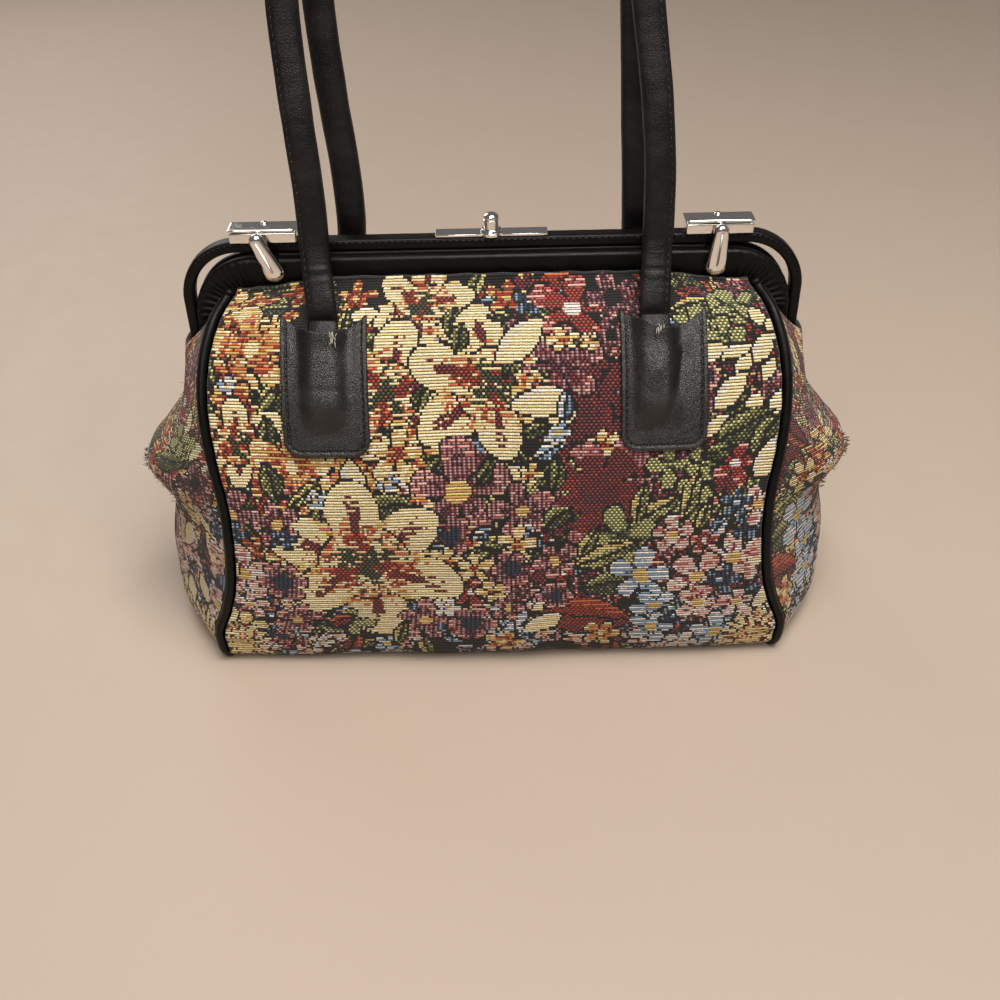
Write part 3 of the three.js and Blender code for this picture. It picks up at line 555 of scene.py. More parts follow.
@dataclass(frozen=True)
class TapestryFinish:
    """Jacquard weave over the painted yarn colours.

    The piece's UV map holds the weave's own place: its first coordinate times threads counts the dark
    warp threads, the second counts the ribs. The attribute dye holds each cell's yarn, and rib how
    strongly the cell is ribbed rather than crossed. The grooves between ribs get painted shade, in one
    dark colour with the real dark warp threads.
    """

    name: str = "tapestry_weave"
    threads: float = THREADS
    fibre_shade: Color = (0.02, 0.018, 0.018, 1.0)
    # painted shade of the grooves between ribs, and also the colour of the real dark warp threads
    warp_and_groove_shade_color: Color = (0.004, 0.0036, 0.0038, 1.0)

    def material(self) -> bpy.types.Material:
        """The finish as a material."""
        material, graph, shader = blank_material(self.name)
        weave = graph.add("ShaderNodeUVMap", uv_map="weave").outputs[0]
        apart = graph.add("ShaderNodeSeparateXYZ", {0: weave})
        place = graph.object_place()
        wander = graph.math("MULTIPLY", graph.math("SUBTRACT", graph.noise(place, 700.0, 2.0), 0.5), 0.34)
        warp = graph.math("ADD", graph.math("MULTIPLY", apart.outputs[0], self.threads), wander)
        rib = graph.math("ADD", graph.math("MULTIPLY", apart.outputs[1], self.threads), wander)
        ridge = self.ridge(graph, rib)
        cross = self.ridge(graph, warp)
        dye = graph.add("ShaderNodeAttribute", attribute_name="dye")
        ribbed = graph.add("ShaderNodeAttribute", attribute_name="rib").outputs["Fac"]
        plain = graph.math("SUBTRACT", 1.0, ribbed)
        # painted shade in the grooves between ribs, where the bump dips
        rib_groove_shade = graph.math("MULTIPLY", graph.math("SUBTRACT", 1.0, graph.range(ridge, 0.24, 0.58)), 0.96)
        warp_gap = graph.math("SUBTRACT", 1.0, graph.range(cross, 0.14, 0.44))
        warp_gap = graph.math("MULTIPLY", warp_gap, graph.math("MULTIPLY_ADD", plain, 0.8, 0.1))
        # painted groove shade joined with the real dark warp lines
        warp_and_groove_shade = graph.math("MAXIMUM", rib_groove_shade, warp_gap)
        fibre = graph.noise(place, 3600.0, 2.0, 0.6)
        shade = graph.mix(graph.range(fibre, 0.3, 0.7, 0.0, 0.26), dye.outputs["Color"], self.fibre_shade)
        color = graph.mix(warp_and_groove_shade, shade, self.warp_and_groove_shade_color)
        graph.feed(shader, "Base Color", color)
        graph.bump(shader, 0.85, 0.0006, graph.weighted((ridge, 0.8), (cross, 0.3), (fibre, 0.28)))
        shader.inputs["Roughness"].default_value = 0.82
        shader.inputs["Specular IOR Level"].default_value = 0.22
        shader.inputs["Sheen Weight"].default_value = 0.12
        shader.inputs["Sheen Roughness"].default_value = 0.6
        return material

    @staticmethod
    def ridge(graph: Graph, place: bpy.types.NodeSocket) -> bpy.types.NodeSocket:
        """A round ridge on each whole number's span: |sin(pi x place)|."""
        turn = graph.math("MULTIPLY", place, math.pi)
        return graph.math("ABSOLUTE", graph.math("SINE", turn))


class Finishes:
    """All materials of the bag, each made once."""

    def __init__(self) -> None:
        """Builds the materials."""
        self.tapestry = TapestryFinish().material()
        self.frame_leather = LeatherFinish(
            "frame_leather", (0.0028, 0.0026, 0.0027, 1.0), (0.008, 0.0072, 0.007, 1.0),
            0.36, 1100.0, 0.22, 0.16).material()
        self.handle_leather = LeatherFinish(
            "handle_leather", (0.0045, 0.0042, 0.0048, 1.0), (0.018, 0.016, 0.017, 1.0),
            0.4, 900.0, 0.45, 0.28).material()
        self.tab_leather = LeatherFinish(
            "tab_leather", (0.009, 0.0084, 0.009, 1.0), (0.036, 0.032, 0.032, 1.0), 0.33, 1250.0, 0.6, 0.5
        ).material()
        self.chrome = ChromeFinish().material()
        self.dark_thread = ThreadFinish("dark_thread", (0.012, 0.011, 0.012, 1.0), 0.4).material()
        self.pale_thread = ThreadFinish("pale_thread", (0.5, 0.47, 0.4, 1.0)).material()
        self.gold_thread = ThreadFinish("gold_thread", (0.5, 0.33, 0.1, 1.0)).material()


def finish_piece(piece: bpy.types.Object, material: bpy.types.Material, body: str = "bag",
                 nodes: Sequence[str] = ()) -> bpy.types.Object:
    """Gives a piece its material, body and the nodes that it stands for.

    Args:
        piece: the new piece.
        material: its finish.
        body: the body that it rides on.
        nodes: the nodes that it replaces.

    Returns:
        The same piece.
    """
    piece.data.materials.clear()
    piece.data.materials.append(material)
    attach(piece, body)
    if nodes:
        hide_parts(*nodes)
    log.info("%s: %d faces", piece.name, len(piece.data.polygons))
    return piece


# The woven picture


class Pattern(Enum):
    """How a yarn's two shades alternate from cell to cell."""

    ROWS = (0, 1)
    COLUMNS = (1, 0)
    CHECK = (1, 1)


class Yarn(Enum):
    """Yarns: the paler and the darker shade, how they alternate, and how strongly they are ribbed."""

    BLACK = ((24, 22, 22), (15, 14, 14), Pattern.CHECK, 0.2)
    CREAM = ((246, 234, 192), (228, 206, 152), Pattern.ROWS, 1.0)
    WHITE = ((242, 236, 226), (212, 198, 190), Pattern.ROWS, 1.0)
    GOLD = ((232, 206, 132), (204, 158, 92), Pattern.ROWS, 0.95)
    ORANGE = ((210, 112, 70), (142, 54, 36), Pattern.ROWS, 0.55)
    RUST = ((184, 68, 44), (96, 30, 24), Pattern.CHECK, 0.25)
    RED = ((182, 68, 58), (96, 30, 30), Pattern.CHECK, 0.25)
    BURGUNDY = ((142, 60, 60), (60, 23, 27), Pattern.CHECK, 0.15)
    PLUM = ((112, 58, 70), (40, 20, 28), Pattern.CHECK, 0.15)
    MAUVE = ((186, 136, 136), (100, 52, 58), Pattern.COLUMNS, 0.35)
    PINK = ((232, 178, 162), (172, 92, 92), Pattern.ROWS, 0.7)
    NAVY = ((46, 58, 86), (20, 25, 36), Pattern.COLUMNS, 0.2)
    SLATE = ((140, 162, 182), (48, 66, 92), Pattern.COLUMNS, 0.45)
    ICE = ((216, 226, 234), (132, 154, 178), Pattern.ROWS, 0.8)
    OLIVE = ((142, 138, 80), (42, 44, 28), Pattern.CHECK, 0.3)
    SAGE = ((212, 208, 144), (108, 108, 64), Pattern.CHECK, 0.35)
    FOREST = ((80, 86, 58), (24, 28, 21), Pattern.CHECK, 0.1)


YARNS = list(Yarn)


def linear(level: Array) -> Array:
    """Light from screen levels of 0 to 255, by the usual screen curve."""
    share = level / 255.0
    return np.where(share <= 0.04045, share / 12.92, ((share + 0.055) / 1.055) ** 2.4)


@dataclass(frozen=True)
class Zone:
    """A part of a petal in one yarn: shares from the flower's middle out, and from a petal's middle line out."""

    inner: float
    outer: float
    near: float
    far: float
    yarn: Yarn
    share: float = 1.0


@dataclass(frozen=True)
class Bloom:
    """How a kind of flower is drawn: rings of petals, their form and their yarns."""

    petals: int
    rings: int
    spread: float
    roundness: float
    zones: tuple[Zone, ...]


class Kind(Enum):
    """Kinds of flower and leaf in the cloth."""

    LILY = Bloom(3, 2, 0.97, 1.8, (
        Zone(0, 1, 0, 1, Yarn.CREAM), Zone(0.45, 1, 0.5, 1, Yarn.GOLD, 0.6), Zone(0.15, 0.8, 0.75, 1, Yarn.ORANGE, 0.5),
        Zone(0.1, 0.58, 0, 0.6, Yarn.ORANGE, 0.8), Zone(0.1, 0.8, 0, 0.13, Yarn.BURGUNDY, 0.95),
        Zone(0, 0.44, 0, 0.45, Yarn.RUST, 0.9), Zone(0, 0.3, 0, 1, Yarn.RUST, 0.9),
        Zone(0, 0.4, 0.6, 1, Yarn.FOREST, 0.9), Zone(0, 0.2, 0, 1, Yarn.FOREST, 0.9)))
    PEACH = Bloom(5, 1, 0.98, 2.8, (
        Zone(0, 1, 0, 1, Yarn.GOLD), Zone(0.5, 1, 0, 0.8, Yarn.CREAM, 0.5), Zone(0.2, 1, 0.6, 1, Yarn.ORANGE, 0.6),
        Zone(0, 0.75, 0, 0.5, Yarn.ORANGE, 0.6), Zone(0, 0.45, 0, 1, Yarn.RUST, 0.45), Zone(0, 0.16, 0, 1, Yarn.CREAM)))
    EMBER = Bloom(5, 1, 0.95, 2.6, (
        Zone(0, 1, 0, 1, Yarn.ORANGE), Zone(0.6, 1, 0, 0.7, Yarn.GOLD, 0.5), Zone(0, 1, 0.82, 1, Yarn.BURGUNDY, 0.7),
        Zone(0, 0.6, 0, 0.3, Yarn.RUST, 0.8), Zone(0, 0.45, 0, 1, Yarn.RED, 0.5), Zone(0, 0.2, 0, 1, Yarn.GOLD)))
    SCARLET = Bloom(5, 1, 0.95, 3.2, (
        Zone(0, 1, 0, 1, Yarn.RED), Zone(0.6, 1, 0, 0.8, Yarn.PINK, 0.45), Zone(0, 0.7, 0, 0.4, Yarn.RUST, 0.5),
        Zone(0.2, 1, 0.88, 1, Yarn.BLACK), Zone(0, 0.2, 0, 1, Yarn.WHITE)))
    ROUGE = Bloom(6, 1, 0.98, 3.4, (
        Zone(0, 1, 0, 1, Yarn.MAUVE), Zone(0.7, 1, 0, 1, Yarn.PINK, 0.6), Zone(0, 0.8, 0, 0.5, Yarn.BURGUNDY, 0.7),
        Zone(0.2, 1, 0.9, 1, Yarn.BLACK), Zone(0, 0.4, 0, 1, Yarn.PLUM, 0.7)))
    CLARET = Bloom(8, 1, 0.99, 5.0, (
        Zone(0, 1, 0, 1, Yarn.BURGUNDY), Zone(0.5, 1, 0, 0.8, Yarn.RED, 0.35), Zone(0, 0.9, 0, 1, Yarn.PLUM, 0.3)))
    ROSE = Bloom(7, 1, 0.99, 6.0, (
        Zone(0, 1, 0, 1, Yarn.PINK), Zone(0.8, 1, 0, 1, Yarn.MAUVE, 0.6), Zone(0, 0.84, 0, 1, Yarn.MAUVE, 0.6),
        Zone(0, 0.76, 0, 1, Yarn.BURGUNDY), Zone(0, 0.7, 0, 1, Yarn.RED, 0.3), Zone(0, 0.5, 0, 1, Yarn.PLUM, 0.3)))
    PLUM = Bloom(5, 1, 0.98, 3.4, (
        Zone(0, 1, 0, 1, Yarn.MAUVE), Zone(0.3, 1, 0, 0.7, Yarn.PLUM, 0.6), Zone(0.6, 1, 0.3, 1, Yarn.PINK, 0.4),
        Zone(0, 0.3, 0, 1, Yarn.BLACK)))
    MAUVE = Bloom(5, 1, 0.97, 3.4, (
        Zone(0, 1, 0, 1, Yarn.MAUVE), Zone(0.6, 1, 0, 0.85, Yarn.PINK, 0.45), Zone(0.2, 0.75, 0, 0.3, Yarn.PLUM, 0.7),
        Zone(0.15, 1, 0.9, 1, Yarn.BLACK), Zone(0.1, 0.42, 0, 1, Yarn.BURGUNDY, 0.6), Zone(0, 0.24, 0, 1, Yarn.GOLD)))
    ROUND = Bloom(6, 1, 0.99, 6.0, (
        Zone(0, 1, 0, 1, Yarn.PINK), Zone(0, 0.82, 0, 1, Yarn.MAUVE), Zone(0, 0.7, 0, 1, Yarn.PLUM, 0.7),
        Zone(0, 0.4, 0, 1, Yarn.NAVY)))
    BLUSH = Bloom(5, 1, 0.97, 3.2, (
        Zone(0, 1, 0, 1, Yarn.WHITE), Zone(0.2, 1, 0, 0.7, Yarn.PINK, 0.6), Zone(0.15, 1, 0.9, 1, Yarn.NAVY),
        Zone(0, 0.6, 0, 0.4, Yarn.RED, 0.6), Zone(0, 0.24, 0, 1, Yarn.GOLD)))
    FROST = Bloom(5, 1, 0.97, 3.2, (
        Zone(0, 1, 0, 1, Yarn.ICE), Zone(0.5, 1, 0, 0.8, Yarn.WHITE, 0.4), Zone(0.1, 1, 0.88, 1, Yarn.NAVY),
        Zone(0, 0.5, 0, 0.4, Yarn.SLATE, 0.7), Zone(0, 0.26, 0, 1, Yarn.GOLD)))
    DUSK = Bloom(5, 1, 0.97, 3.0, (
        Zone(0, 1, 0, 1, Yarn.NAVY), Zone(0.5, 1, 0, 0.7, Yarn.SLATE, 0.7), Zone(0, 0.2, 0, 1, Yarn.ICE)))
    BUTTER = Bloom(5, 1, 0.95, 2.8, (
        Zone(0, 1, 0, 1, Yarn.GOLD), Zone(0.4, 1, 0, 0.7, Yarn.CREAM, 0.6), Zone(0.15, 1, 0.85, 1, Yarn.BLACK),
        Zone(0, 0.35, 0, 1, Yarn.RUST, 0.8)))
    PEARL = Bloom(5, 1, 0.98, 3.0, (
        Zone(0, 1, 0, 1, Yarn.WHITE), Zone(0, 0.6, 0, 0.5, Yarn.SLATE, 0.6), Zone(0, 0.2, 0, 1, Yarn.GOLD)))
    SPICE = Bloom(9, 2, 0.9, 2.0, (
        Zone(0, 1, 0, 1, Yarn.CREAM), Zone(0, 1, 0.3, 1, Yarn.RUST, 0.6), Zone(0, 0.5, 0, 1, Yarn.GOLD, 0.5)))
    SAGE = Bloom(4, 1, 0.95, 2.6, (
        Zone(0, 1, 0, 1, Yarn.SAGE), Zone(0.2, 1, 0.5, 1, Yarn.OLIVE, 0.5), Zone(0.1, 1, 0.9, 1, Yarn.BLACK),
        Zone(0, 0.3, 0, 1, Yarn.FOREST, 0.8)))
    LEAF = "leaf"
    PETAL = "petal"
    AUTUMN = "autumn"
    REED = "reed"
    ICICLE = "icicle"


LEAF_YARNS = {
    Kind.LEAF: (Yarn.OLIVE, Yarn.FOREST, Yarn.SAGE),
    Kind.PETAL: (Yarn.CREAM, Yarn.CREAM, Yarn.WHITE),
    Kind.AUTUMN: (Yarn.RUST, Yarn.BURGUNDY, Yarn.ORANGE),
    Kind.REED: (Yarn.SAGE, Yarn.OLIVE, Yarn.GOLD),
    Kind.ICICLE: (Yarn.ICE, Yarn.SLATE, Yarn.WHITE),
}


@dataclass(frozen=True)
class Motif:
    """One flower or leaf: its kind, place on the cloth in millimetres, radius or half length, and turn in degrees."""

    kind: Kind
    across: float
    up: float
    size: float
    turn: float = 0.0


class TapestryPainter:
    """Draws flowers and leaves cell by cell, as a loom would, on a grid of weave cells."""

    OUTLINE = 1.15
    LEAF_WIDTH = 0.5

    def __init__(self, across: Array, up: Array, seed: int) -> None:
        """Starts with a black ground.

        Args:
            across: each cell's place across the cloth, in millimetres.
            up: each cell's place up the cloth.
            seed: for the threads' random choice.
        """
        self.random = np.random.default_rng(seed)
        self.across = across + soft_noise(across, up, 9.0, seed) * 1.1
        self.up = up + soft_noise(across, up, 8.0, seed + 1) * 1.1
        self.yarn = np.zeros(across.shape, int)
        row, column = np.indices(across.shape)
        runs = self.random.random(across.shape)
        runs = (runs + np.roll(runs, 1, axis=1) + np.roll(runs, 2, axis=1)) / 3
        mixed = (row % 2) * 0.22 + (column % 2) * 0.05 + runs
        self.chance = mixed.ravel().argsort().argsort().reshape(mixed.shape) / mixed.size

    def fill(self, mask: Array, yarn: Yarn, share: Array | float = 1.0) -> None:
        """Weaves a yarn into a share of the marked cells."""
        self.yarn[mask & (self.chance < share)] = YARNS.index(yarn)

    def draw(self, motif: Motif) -> None:
        """Draws one motif over what is there, with a dark line round it."""
        if isinstance(motif.kind.value, Bloom):
            self.draw_bloom(motif, motif.kind.value)
        else:
            self.draw_leaf(motif)

    def draw_bloom(self, motif: Motif, bloom: Bloom) -> None:
        """Draws rings of petals; a petal reaches size x (1 - |angle / spread|^roundness)."""
        east, north = self.across - motif.across, self.up - motif.up
        radius = np.hypot(east, north)
        angle = np.arctan2(north, east) - math.radians(motif.turn)
        pitch = 2 * np.pi / bloom.petals
        half = pitch / 2 * bloom.spread * (1.0 if bloom.rings == 1 else 0.8)
        lengths = 1 + 0.11 * self.random.uniform(-1, 1, (bloom.rings, bloom.petals))
        for ring in range(bloom.rings):
            turned = angle + ring * pitch / 2 + pitch / 2
            petal = np.floor(turned / pitch).astype(int) % bloom.petals
            sideways = np.clip(np.abs(turned % pitch - pitch / 2) / half, 0, 1)
            full = motif.size * lengths[ring][petal]
            reach = np.maximum(full * (1 - sideways ** bloom.roundness), motif.size * 0.45)
            self.fill(radius < reach + self.OUTLINE, Yarn.BLACK)
            inside = radius < reach
            out = radius / full
            for zone in bloom.zones:
                part = inside & (out >= zone.inner) & (sideways >= zone.near) & (sideways <= zone.far)
                fade = smooth_step(zone.outer + 0.08, zone.outer - 0.3, out) if zone.outer < 1 else 1.0
                edge = 1.0 if zone.share == 1.0 else fade
                self.fill(part & (out <= zone.outer + 0.08 * (zone.share < 1)), zone.yarn, zone.share * edge)

    def draw_leaf(self, motif: Motif) -> None:
        """Draws a leaf or long petal; its half width is a share of its half length x (1 - along^2)."""
        east, north = self.across - motif.across, self.up - motif.up
        c, s = math.cos(math.radians(motif.turn)), math.sin(math.radians(motif.turn))
        along, side = (east * c + north * s) / motif.size, (north * c - east * s) / motif.size
        width = self.LEAF_WIDTH * (0.6 if motif.kind is Kind.REED else 1.0)
        half = width * np.clip(1 - along ** 2, 0, None)
        base, shade, light = LEAF_YARNS[motif.kind]
        margin = self.OUTLINE / motif.size
        self.fill((np.abs(side) < half + margin) & (np.abs(along) < 1 + margin), Yarn.BLACK)
        inside = (np.abs(side) < half) & (np.abs(along) < 1)
        self.fill(inside, base)
        self.fill(inside & (side < 0), shade, 0.55)
        self.fill(inside & (side > half * 0.45), light, 0.6)
        if motif.kind is not Kind.PETAL:
            self.fill(inside & (np.abs(side) < 0.7 / motif.size), Yarn.BLACK)

    def scatter(self, kinds: Sequence[Kind], count: int, sizes: tuple[float, float],
                box: tuple[float, float, float, float]) -> None:
        """Draws random motifs of some kinds inside a box of low across, low up, high across and high up."""
        low_x, low_y, high_x, high_y = box
        for _ in range(count):
            kind = kinds[int(self.random.integers(len(kinds)))]
            place = self.random.uniform((low_x, low_y), (high_x, high_y))
            size = float(self.random.uniform(*sizes))
            self.draw(Motif(kind, float(place[0]), float(place[1]), size, float(self.random.uniform(0, 360))))

    def colors(self) -> tuple[Array, Array]:
        """The light of each cell, with small differences between threads, and its share of ribbing."""
        shades = linear(np.array([yarn.value[:2] for yarn in YARNS], float))
        steps = np.array([yarn.value[2].value for yarn in YARNS])
        row, column = np.indices(self.yarn.shape)
        parity = (steps[self.yarn][..., 0] * column + steps[self.yarn][..., 1] * row) % 2
        light = shades[self.yarn, parity]
        worn = 1 + 0.1 * soft_noise(self.across, self.up, 30.0, Seed.CLOTH_WEAR)[..., None]
        uneven = 1 + 0.2 * (self.random.random(self.yarn.shape)[..., None] - 0.5)
        ribbed = np.array([yarn.value[3] for yarn in YARNS])[self.yarn]
        return np.clip(light * worn * uneven, 0, 1), ribbed


GROUND_KINDS = (Kind.LEAF, Kind.REED, Kind.LEAF, Kind.AUTUMN, Kind.REED, Kind.ICICLE)
WARM_KINDS = (Kind.EMBER, Kind.PEACH, Kind.AUTUMN, Kind.SCARLET, Kind.EMBER, Kind.BUTTER, Kind.LEAF)
DEEP_KINDS = (Kind.CLARET, Kind.ROUGE, Kind.SCARLET, Kind.PLUM, Kind.CLARET, Kind.SAGE)
COOL_KINDS = (Kind.BLUSH, Kind.FROST, Kind.MAUVE, Kind.DUSK, Kind.ROUND, Kind.BLUSH)

# The front's flowers and leaves, later ones over earlier ones: kind, millimetres across from the middle,
# millimetres up the cloth from its bottom seam, radius or half length, turn in degrees.
FRONT_MOTIFS = (
    (Kind.BUTTER, -120, 213, 12, 0), (Kind.EMBER, -108, 212, 10, 30), (Kind.LEAF, -102, 207, 8, 10),
    (Kind.BUTTER, -102, 199, 5, 0), (Kind.PEACH, -112, 187, 21, 20), (Kind.PEACH, -121, 173, 11, 60),
    (Kind.REED, -132, 176, 9, 90), (Kind.REED, -133, 162, 9, 90), (Kind.FROST, -124, 169, 5, 0),
    (Kind.EMBER, -120, 158, 14, 0), (Kind.LEAF, -104, 159, 11, 60), (Kind.LILY, -121, 143, 23, 150),
    (Kind.LEAF, -106, 147, 8, 100), (Kind.PEACH, -96, 132, 20, 80), (Kind.LEAF, -106, 123, 10, 100),
    (Kind.REED, -90, 118, 12, 40), (Kind.LEAF, -84, 106, 9, 80), (Kind.FROST, -86, 114, 5, 20),
    (Kind.PEACH, -68, 128, 17, 270), (Kind.PETAL, -68, 124, 12, 90), (Kind.LEAF, -53, 111, 14, 5),
    (Kind.FROST, -51, 124, 6, 0), (Kind.PEARL, -40, 123, 6, 40), (Kind.LILY, -32, 208, 26, 200),
    (Kind.PETAL, -60, 203, 8, 15), (Kind.REED, -69, 199, 8, 80), (Kind.LEAF, -56, 189, 9, 30),
    (Kind.LEAF, -54, 178, 7, 60), (Kind.LILY, -50, 166, 33, 75), (Kind.LEAF, -45, 148, 9, 350),
    (Kind.LEAF, -34, 164, 7, 250), (Kind.PEACH, -38, 142, 15, 200), (Kind.BUTTER, -47, 136, 13, 10),
    (Kind.LEAF, -19, 199, 8, 80), (Kind.CLARET, 44, 159, 25, 0), (Kind.CLARET, 37, 150, 17, 20),
    (Kind.LEAF, 4, 134, 9, 40), (Kind.LILY, -2, 169, 38, 100), (Kind.LEAF, -16, 191, 7, 70),
    (Kind.EMBER, 7, 212, 10, 10), (Kind.REED, 4, 203, 6, 10), (Kind.DUSK, 18, 209, 8, 0),
    (Kind.SCARLET, 36, 206, 19, 10), (Kind.PLUM, 56, 211, 13, 40), (Kind.PLUM, 54, 191, 10, 40),
    (Kind.ROUGE, 30, 178, 19, 20), (Kind.BUTTER, 32, 190, 7, 30), (Kind.BUTTER, 44, 189, 5, 60),
    (Kind.LEAF, 8, 179, 7, 250), (Kind.REED, 18, 172, 8, 200), (Kind.PEACH, 15, 169, 8, 200),
    (Kind.PETAL, 21, 161, 14, 12), (Kind.PETAL, 12, 189, 15, 45), (Kind.ICICLE, 32, 159, 7, 80),
    (Kind.FROST, 29, 146, 7, 0), (Kind.ICICLE, 24, 137, 7, 30), (Kind.LEAF, 19, 148, 7, 20),
    (Kind.PETAL, 8, 126, 10, 20), (Kind.BUTTER, 16, 126, 6, 0), (Kind.BUTTER, 50, 141, 8, 20),
    (Kind.ROSE, 48, 117, 28, 0), (Kind.LEAF, 28, 126, 8, 80), (Kind.SAGE, 81, 129, 10, 0),
    (Kind.SAGE, 97, 129, 10, 30), (Kind.SAGE, 92, 111, 12, 20), (Kind.REED, 75, 105, 15, 40),
    (Kind.REED, 68, 109, 12, 80), (Kind.REED, 92, 113, 13, 75), (Kind.SAGE, 60, 92, 17, 20),
    (Kind.REED, 52, 81, 17, 25), (Kind.REED, 44, 88, 10, 60), (Kind.LEAF, 55, 64, 15, 10),
    (Kind.MAUVE, -18, 118, 25, 18), (Kind.ROUND, -22, 94, 10, 0), (Kind.MAUVE, 12, 107, 16, 30),
    (Kind.LEAF, -6, 127, 7, 60), (Kind.ICICLE, -32, 96, 7, 30), (Kind.ICICLE, -28, 87, 6, 350),
    (Kind.LEAF, 28, 103, 9, 40), (Kind.ICICLE, -8, 96, 6, 20), (Kind.BUTTER, -26, 81, 8, 0),
    (Kind.BUTTER, -12, 76, 9, 20), (Kind.BUTTER, 9, 89, 10, 10), (Kind.ROUND, 7, 75, 10, 0),
    (Kind.MAUVE, 28, 78, 11, 40), (Kind.BLUSH, -2, 61, 7, 0), (Kind.SCARLET, -14, 61, 9, 0),
    (Kind.BUTTER, -4, 62, 7, 40), (Kind.LILY, -65, 80, 48, 38), (Kind.MAUVE, -127, 106, 13, 0),
    (Kind.MAUVE, -106, 102, 12, 30), (Kind.DUSK, -128, 95, 8, 0), (Kind.DUSK, -104, 94, 6, 0),
    (Kind.BLUSH, -126, 72, 16, 90), (Kind.PETAL, -134, 77, 10, 110), (Kind.ROUND, -106, 68, 12, 0),
    (Kind.DUSK, -136, 54, 7, 0), (Kind.BLUSH, -125, 52, 9, 10), (Kind.BUTTER, -129, 35, 11, 20),
    (Kind.PETAL, -138, 44, 9, 70), (Kind.MAUVE, -102, 42, 12, 0), (Kind.LEAF, -86, 37, 9, 160),
    (Kind.SAGE, -74, 39, 10, 90), (Kind.AUTUMN, -80, 41, 8, 20), (Kind.PEARL, -92, 25, 6, 0),
    (Kind.AUTUMN, -104, 1, 20, 10), (Kind.PEACH, -88, 0, 9, 20), (Kind.ROUND, -64, 0, 8, 0),
    (Kind.MAUVE, -38, 41, 14, 10), (Kind.ROUND, -14, 39, 12, 0), (Kind.PEARL, -26, 51, 8, 0),
    (Kind.REED, -51, 31, 9, 70), (Kind.AUTUMN, -10, 0, 13, 10), (Kind.PEACH, 2, 24, 10, 0),
    (Kind.SPICE, -134, 21, 17, 0), (Kind.AUTUMN, 42, 42, 26, 350), (Kind.AUTUMN, 26, 1, 20, 10),
    (Kind.PETAL, 22, 38, 11, 28), (Kind.PETAL, 22, 52, 7, 30), (Kind.MAUVE, 4, 51, 9, 0),
    (Kind.ROUND, 28, 57, 9, 0), (Kind.PETAL, 64, 3, 16, 10), (Kind.PEACH, 52, 28, 10, 0),
    (Kind.FROST, 70, 68, 16, 10), (Kind.BLUSH, 84, 92, 10, 20), (Kind.LEAF, 98, 83, 7, 20),
    (Kind.SCARLET, 100, 87, 8, 20), (Kind.SCARLET, 112, 129, 12, 0), (Kind.REED, 98, 102, 9, 70),
    (Kind.PETAL, 126, 80, 13, 70), (Kind.PETAL, 132, 94, 8, 60), (Kind.BLUSH, 115, 77, 16, 20),
    (Kind.BLUSH, 98, 67, 15, 60), (Kind.DUSK, 110, 64, 10, 0), (Kind.DUSK, 122, 95, 8, 0),
    (Kind.BLUSH, 126, 105, 11, 40), (Kind.DUSK, 114, 107, 8, 10), (Kind.FROST, 78, 48, 12, 50),
    (Kind.FROST, 77, 32, 12, 0), (Kind.DUSK, 88, 41, 8, 0), (Kind.BLUSH, 100, 49, 12, 0),
    (Kind.BLUSH, 120, 48, 11, 20), (Kind.PETAL, 134, 51, 9, 60), (Kind.FROST, 110, 27, 14, 20),
    (Kind.PEARL, 94, 19, 9, 0), (Kind.SPICE, 131, 22, 19, 0), (Kind.REED, 92, 206, 12, 20),
    (Kind.SAGE, 102, 201, 13, 0), (Kind.SAGE, 112, 206, 12, 40), (Kind.REED, 95, 192, 11, 60),
    (Kind.SAGE, 106, 189, 10, 0), (Kind.PETAL, 122, 198, 7, 120), (Kind.PETAL, 128, 191, 6, 100),
    (Kind.PETAL, 112, 182, 7, 20), (Kind.PETAL, 123, 182, 9, 60), (Kind.PETAL, 126, 172, 6, 60),
    (Kind.PETAL, 114, 173, 7, 70), (Kind.PETAL, 108, 163, 11, 45), (Kind.PETAL, 119, 156, 7, 60),
    (Kind.PETAL, 132, 156, 10, 50), (Kind.PETAL, 102, 147, 8, 35), (Kind.PETAL, 100, 182, 8, 200),
    (Kind.PETAL, 100, 173, 6, 160), (Kind.ROUND, 98, 171, 6, 0), (Kind.LEAF, 115, 146, 15, 30),
    (Kind.LEAF, 126, 141, 12, 60), (Kind.PETAL, 130, 131, 14, 55), (Kind.LEAF, 104, 135, 8, 10),
)


REPEAT_ACROSS, REPEAT_UP = 285.0, 222.0


def moved_motifs(across: float, up: float) -> list[Motif]:
    """The motifs of another stretch of the same cloth: moved, and wrapped round its repeat."""
    half = REPEAT_ACROSS / 2
    return [Motif(kind, (x + across + half) % REPEAT_ACROSS - half, (height + up) % REPEAT_UP, size, turn)
            for kind, x, height, size, turn in FRONT_MOTIFS]


# The stuffed body's form


# Side edge of a panel, from the base seam up: height as a share of the body's, width of the half width,
# depth from the mouth's (0) to the fullest (1), and how far the edge is set back.
EDGE_ROWS = np.array([
    (0.004, 0.968, 0.703, 0.0), (0.008, 0.976, 0.81, 0.1), (0.022, 0.988, 0.882, 0.3), (0.052, 0.998, 0.932, 0.6),
    (0.11, 0.997, 0.972, 0.9), (0.182, 0.96, 0.992, 1.0), (0.26, 0.929, 1.0, 1.0), (0.365, 0.91, 0.988, 1.0),
    (0.495, 0.905, 0.942, 1.0), (0.625, 0.925, 0.852, 1.0), (0.703, 0.936, 0.77, 1.0), (0.781, 0.938, 0.66, 1.0),
    (0.859, 0.926, 0.503, 0.9), (0.917, 0.902, 0.335, 0.7), (0.95, 0.882, 0.178, 0.4), (0.974, 0.865, 0.07, 0.15),
    (1.0, 0.848, 0.0, 0.0),
])

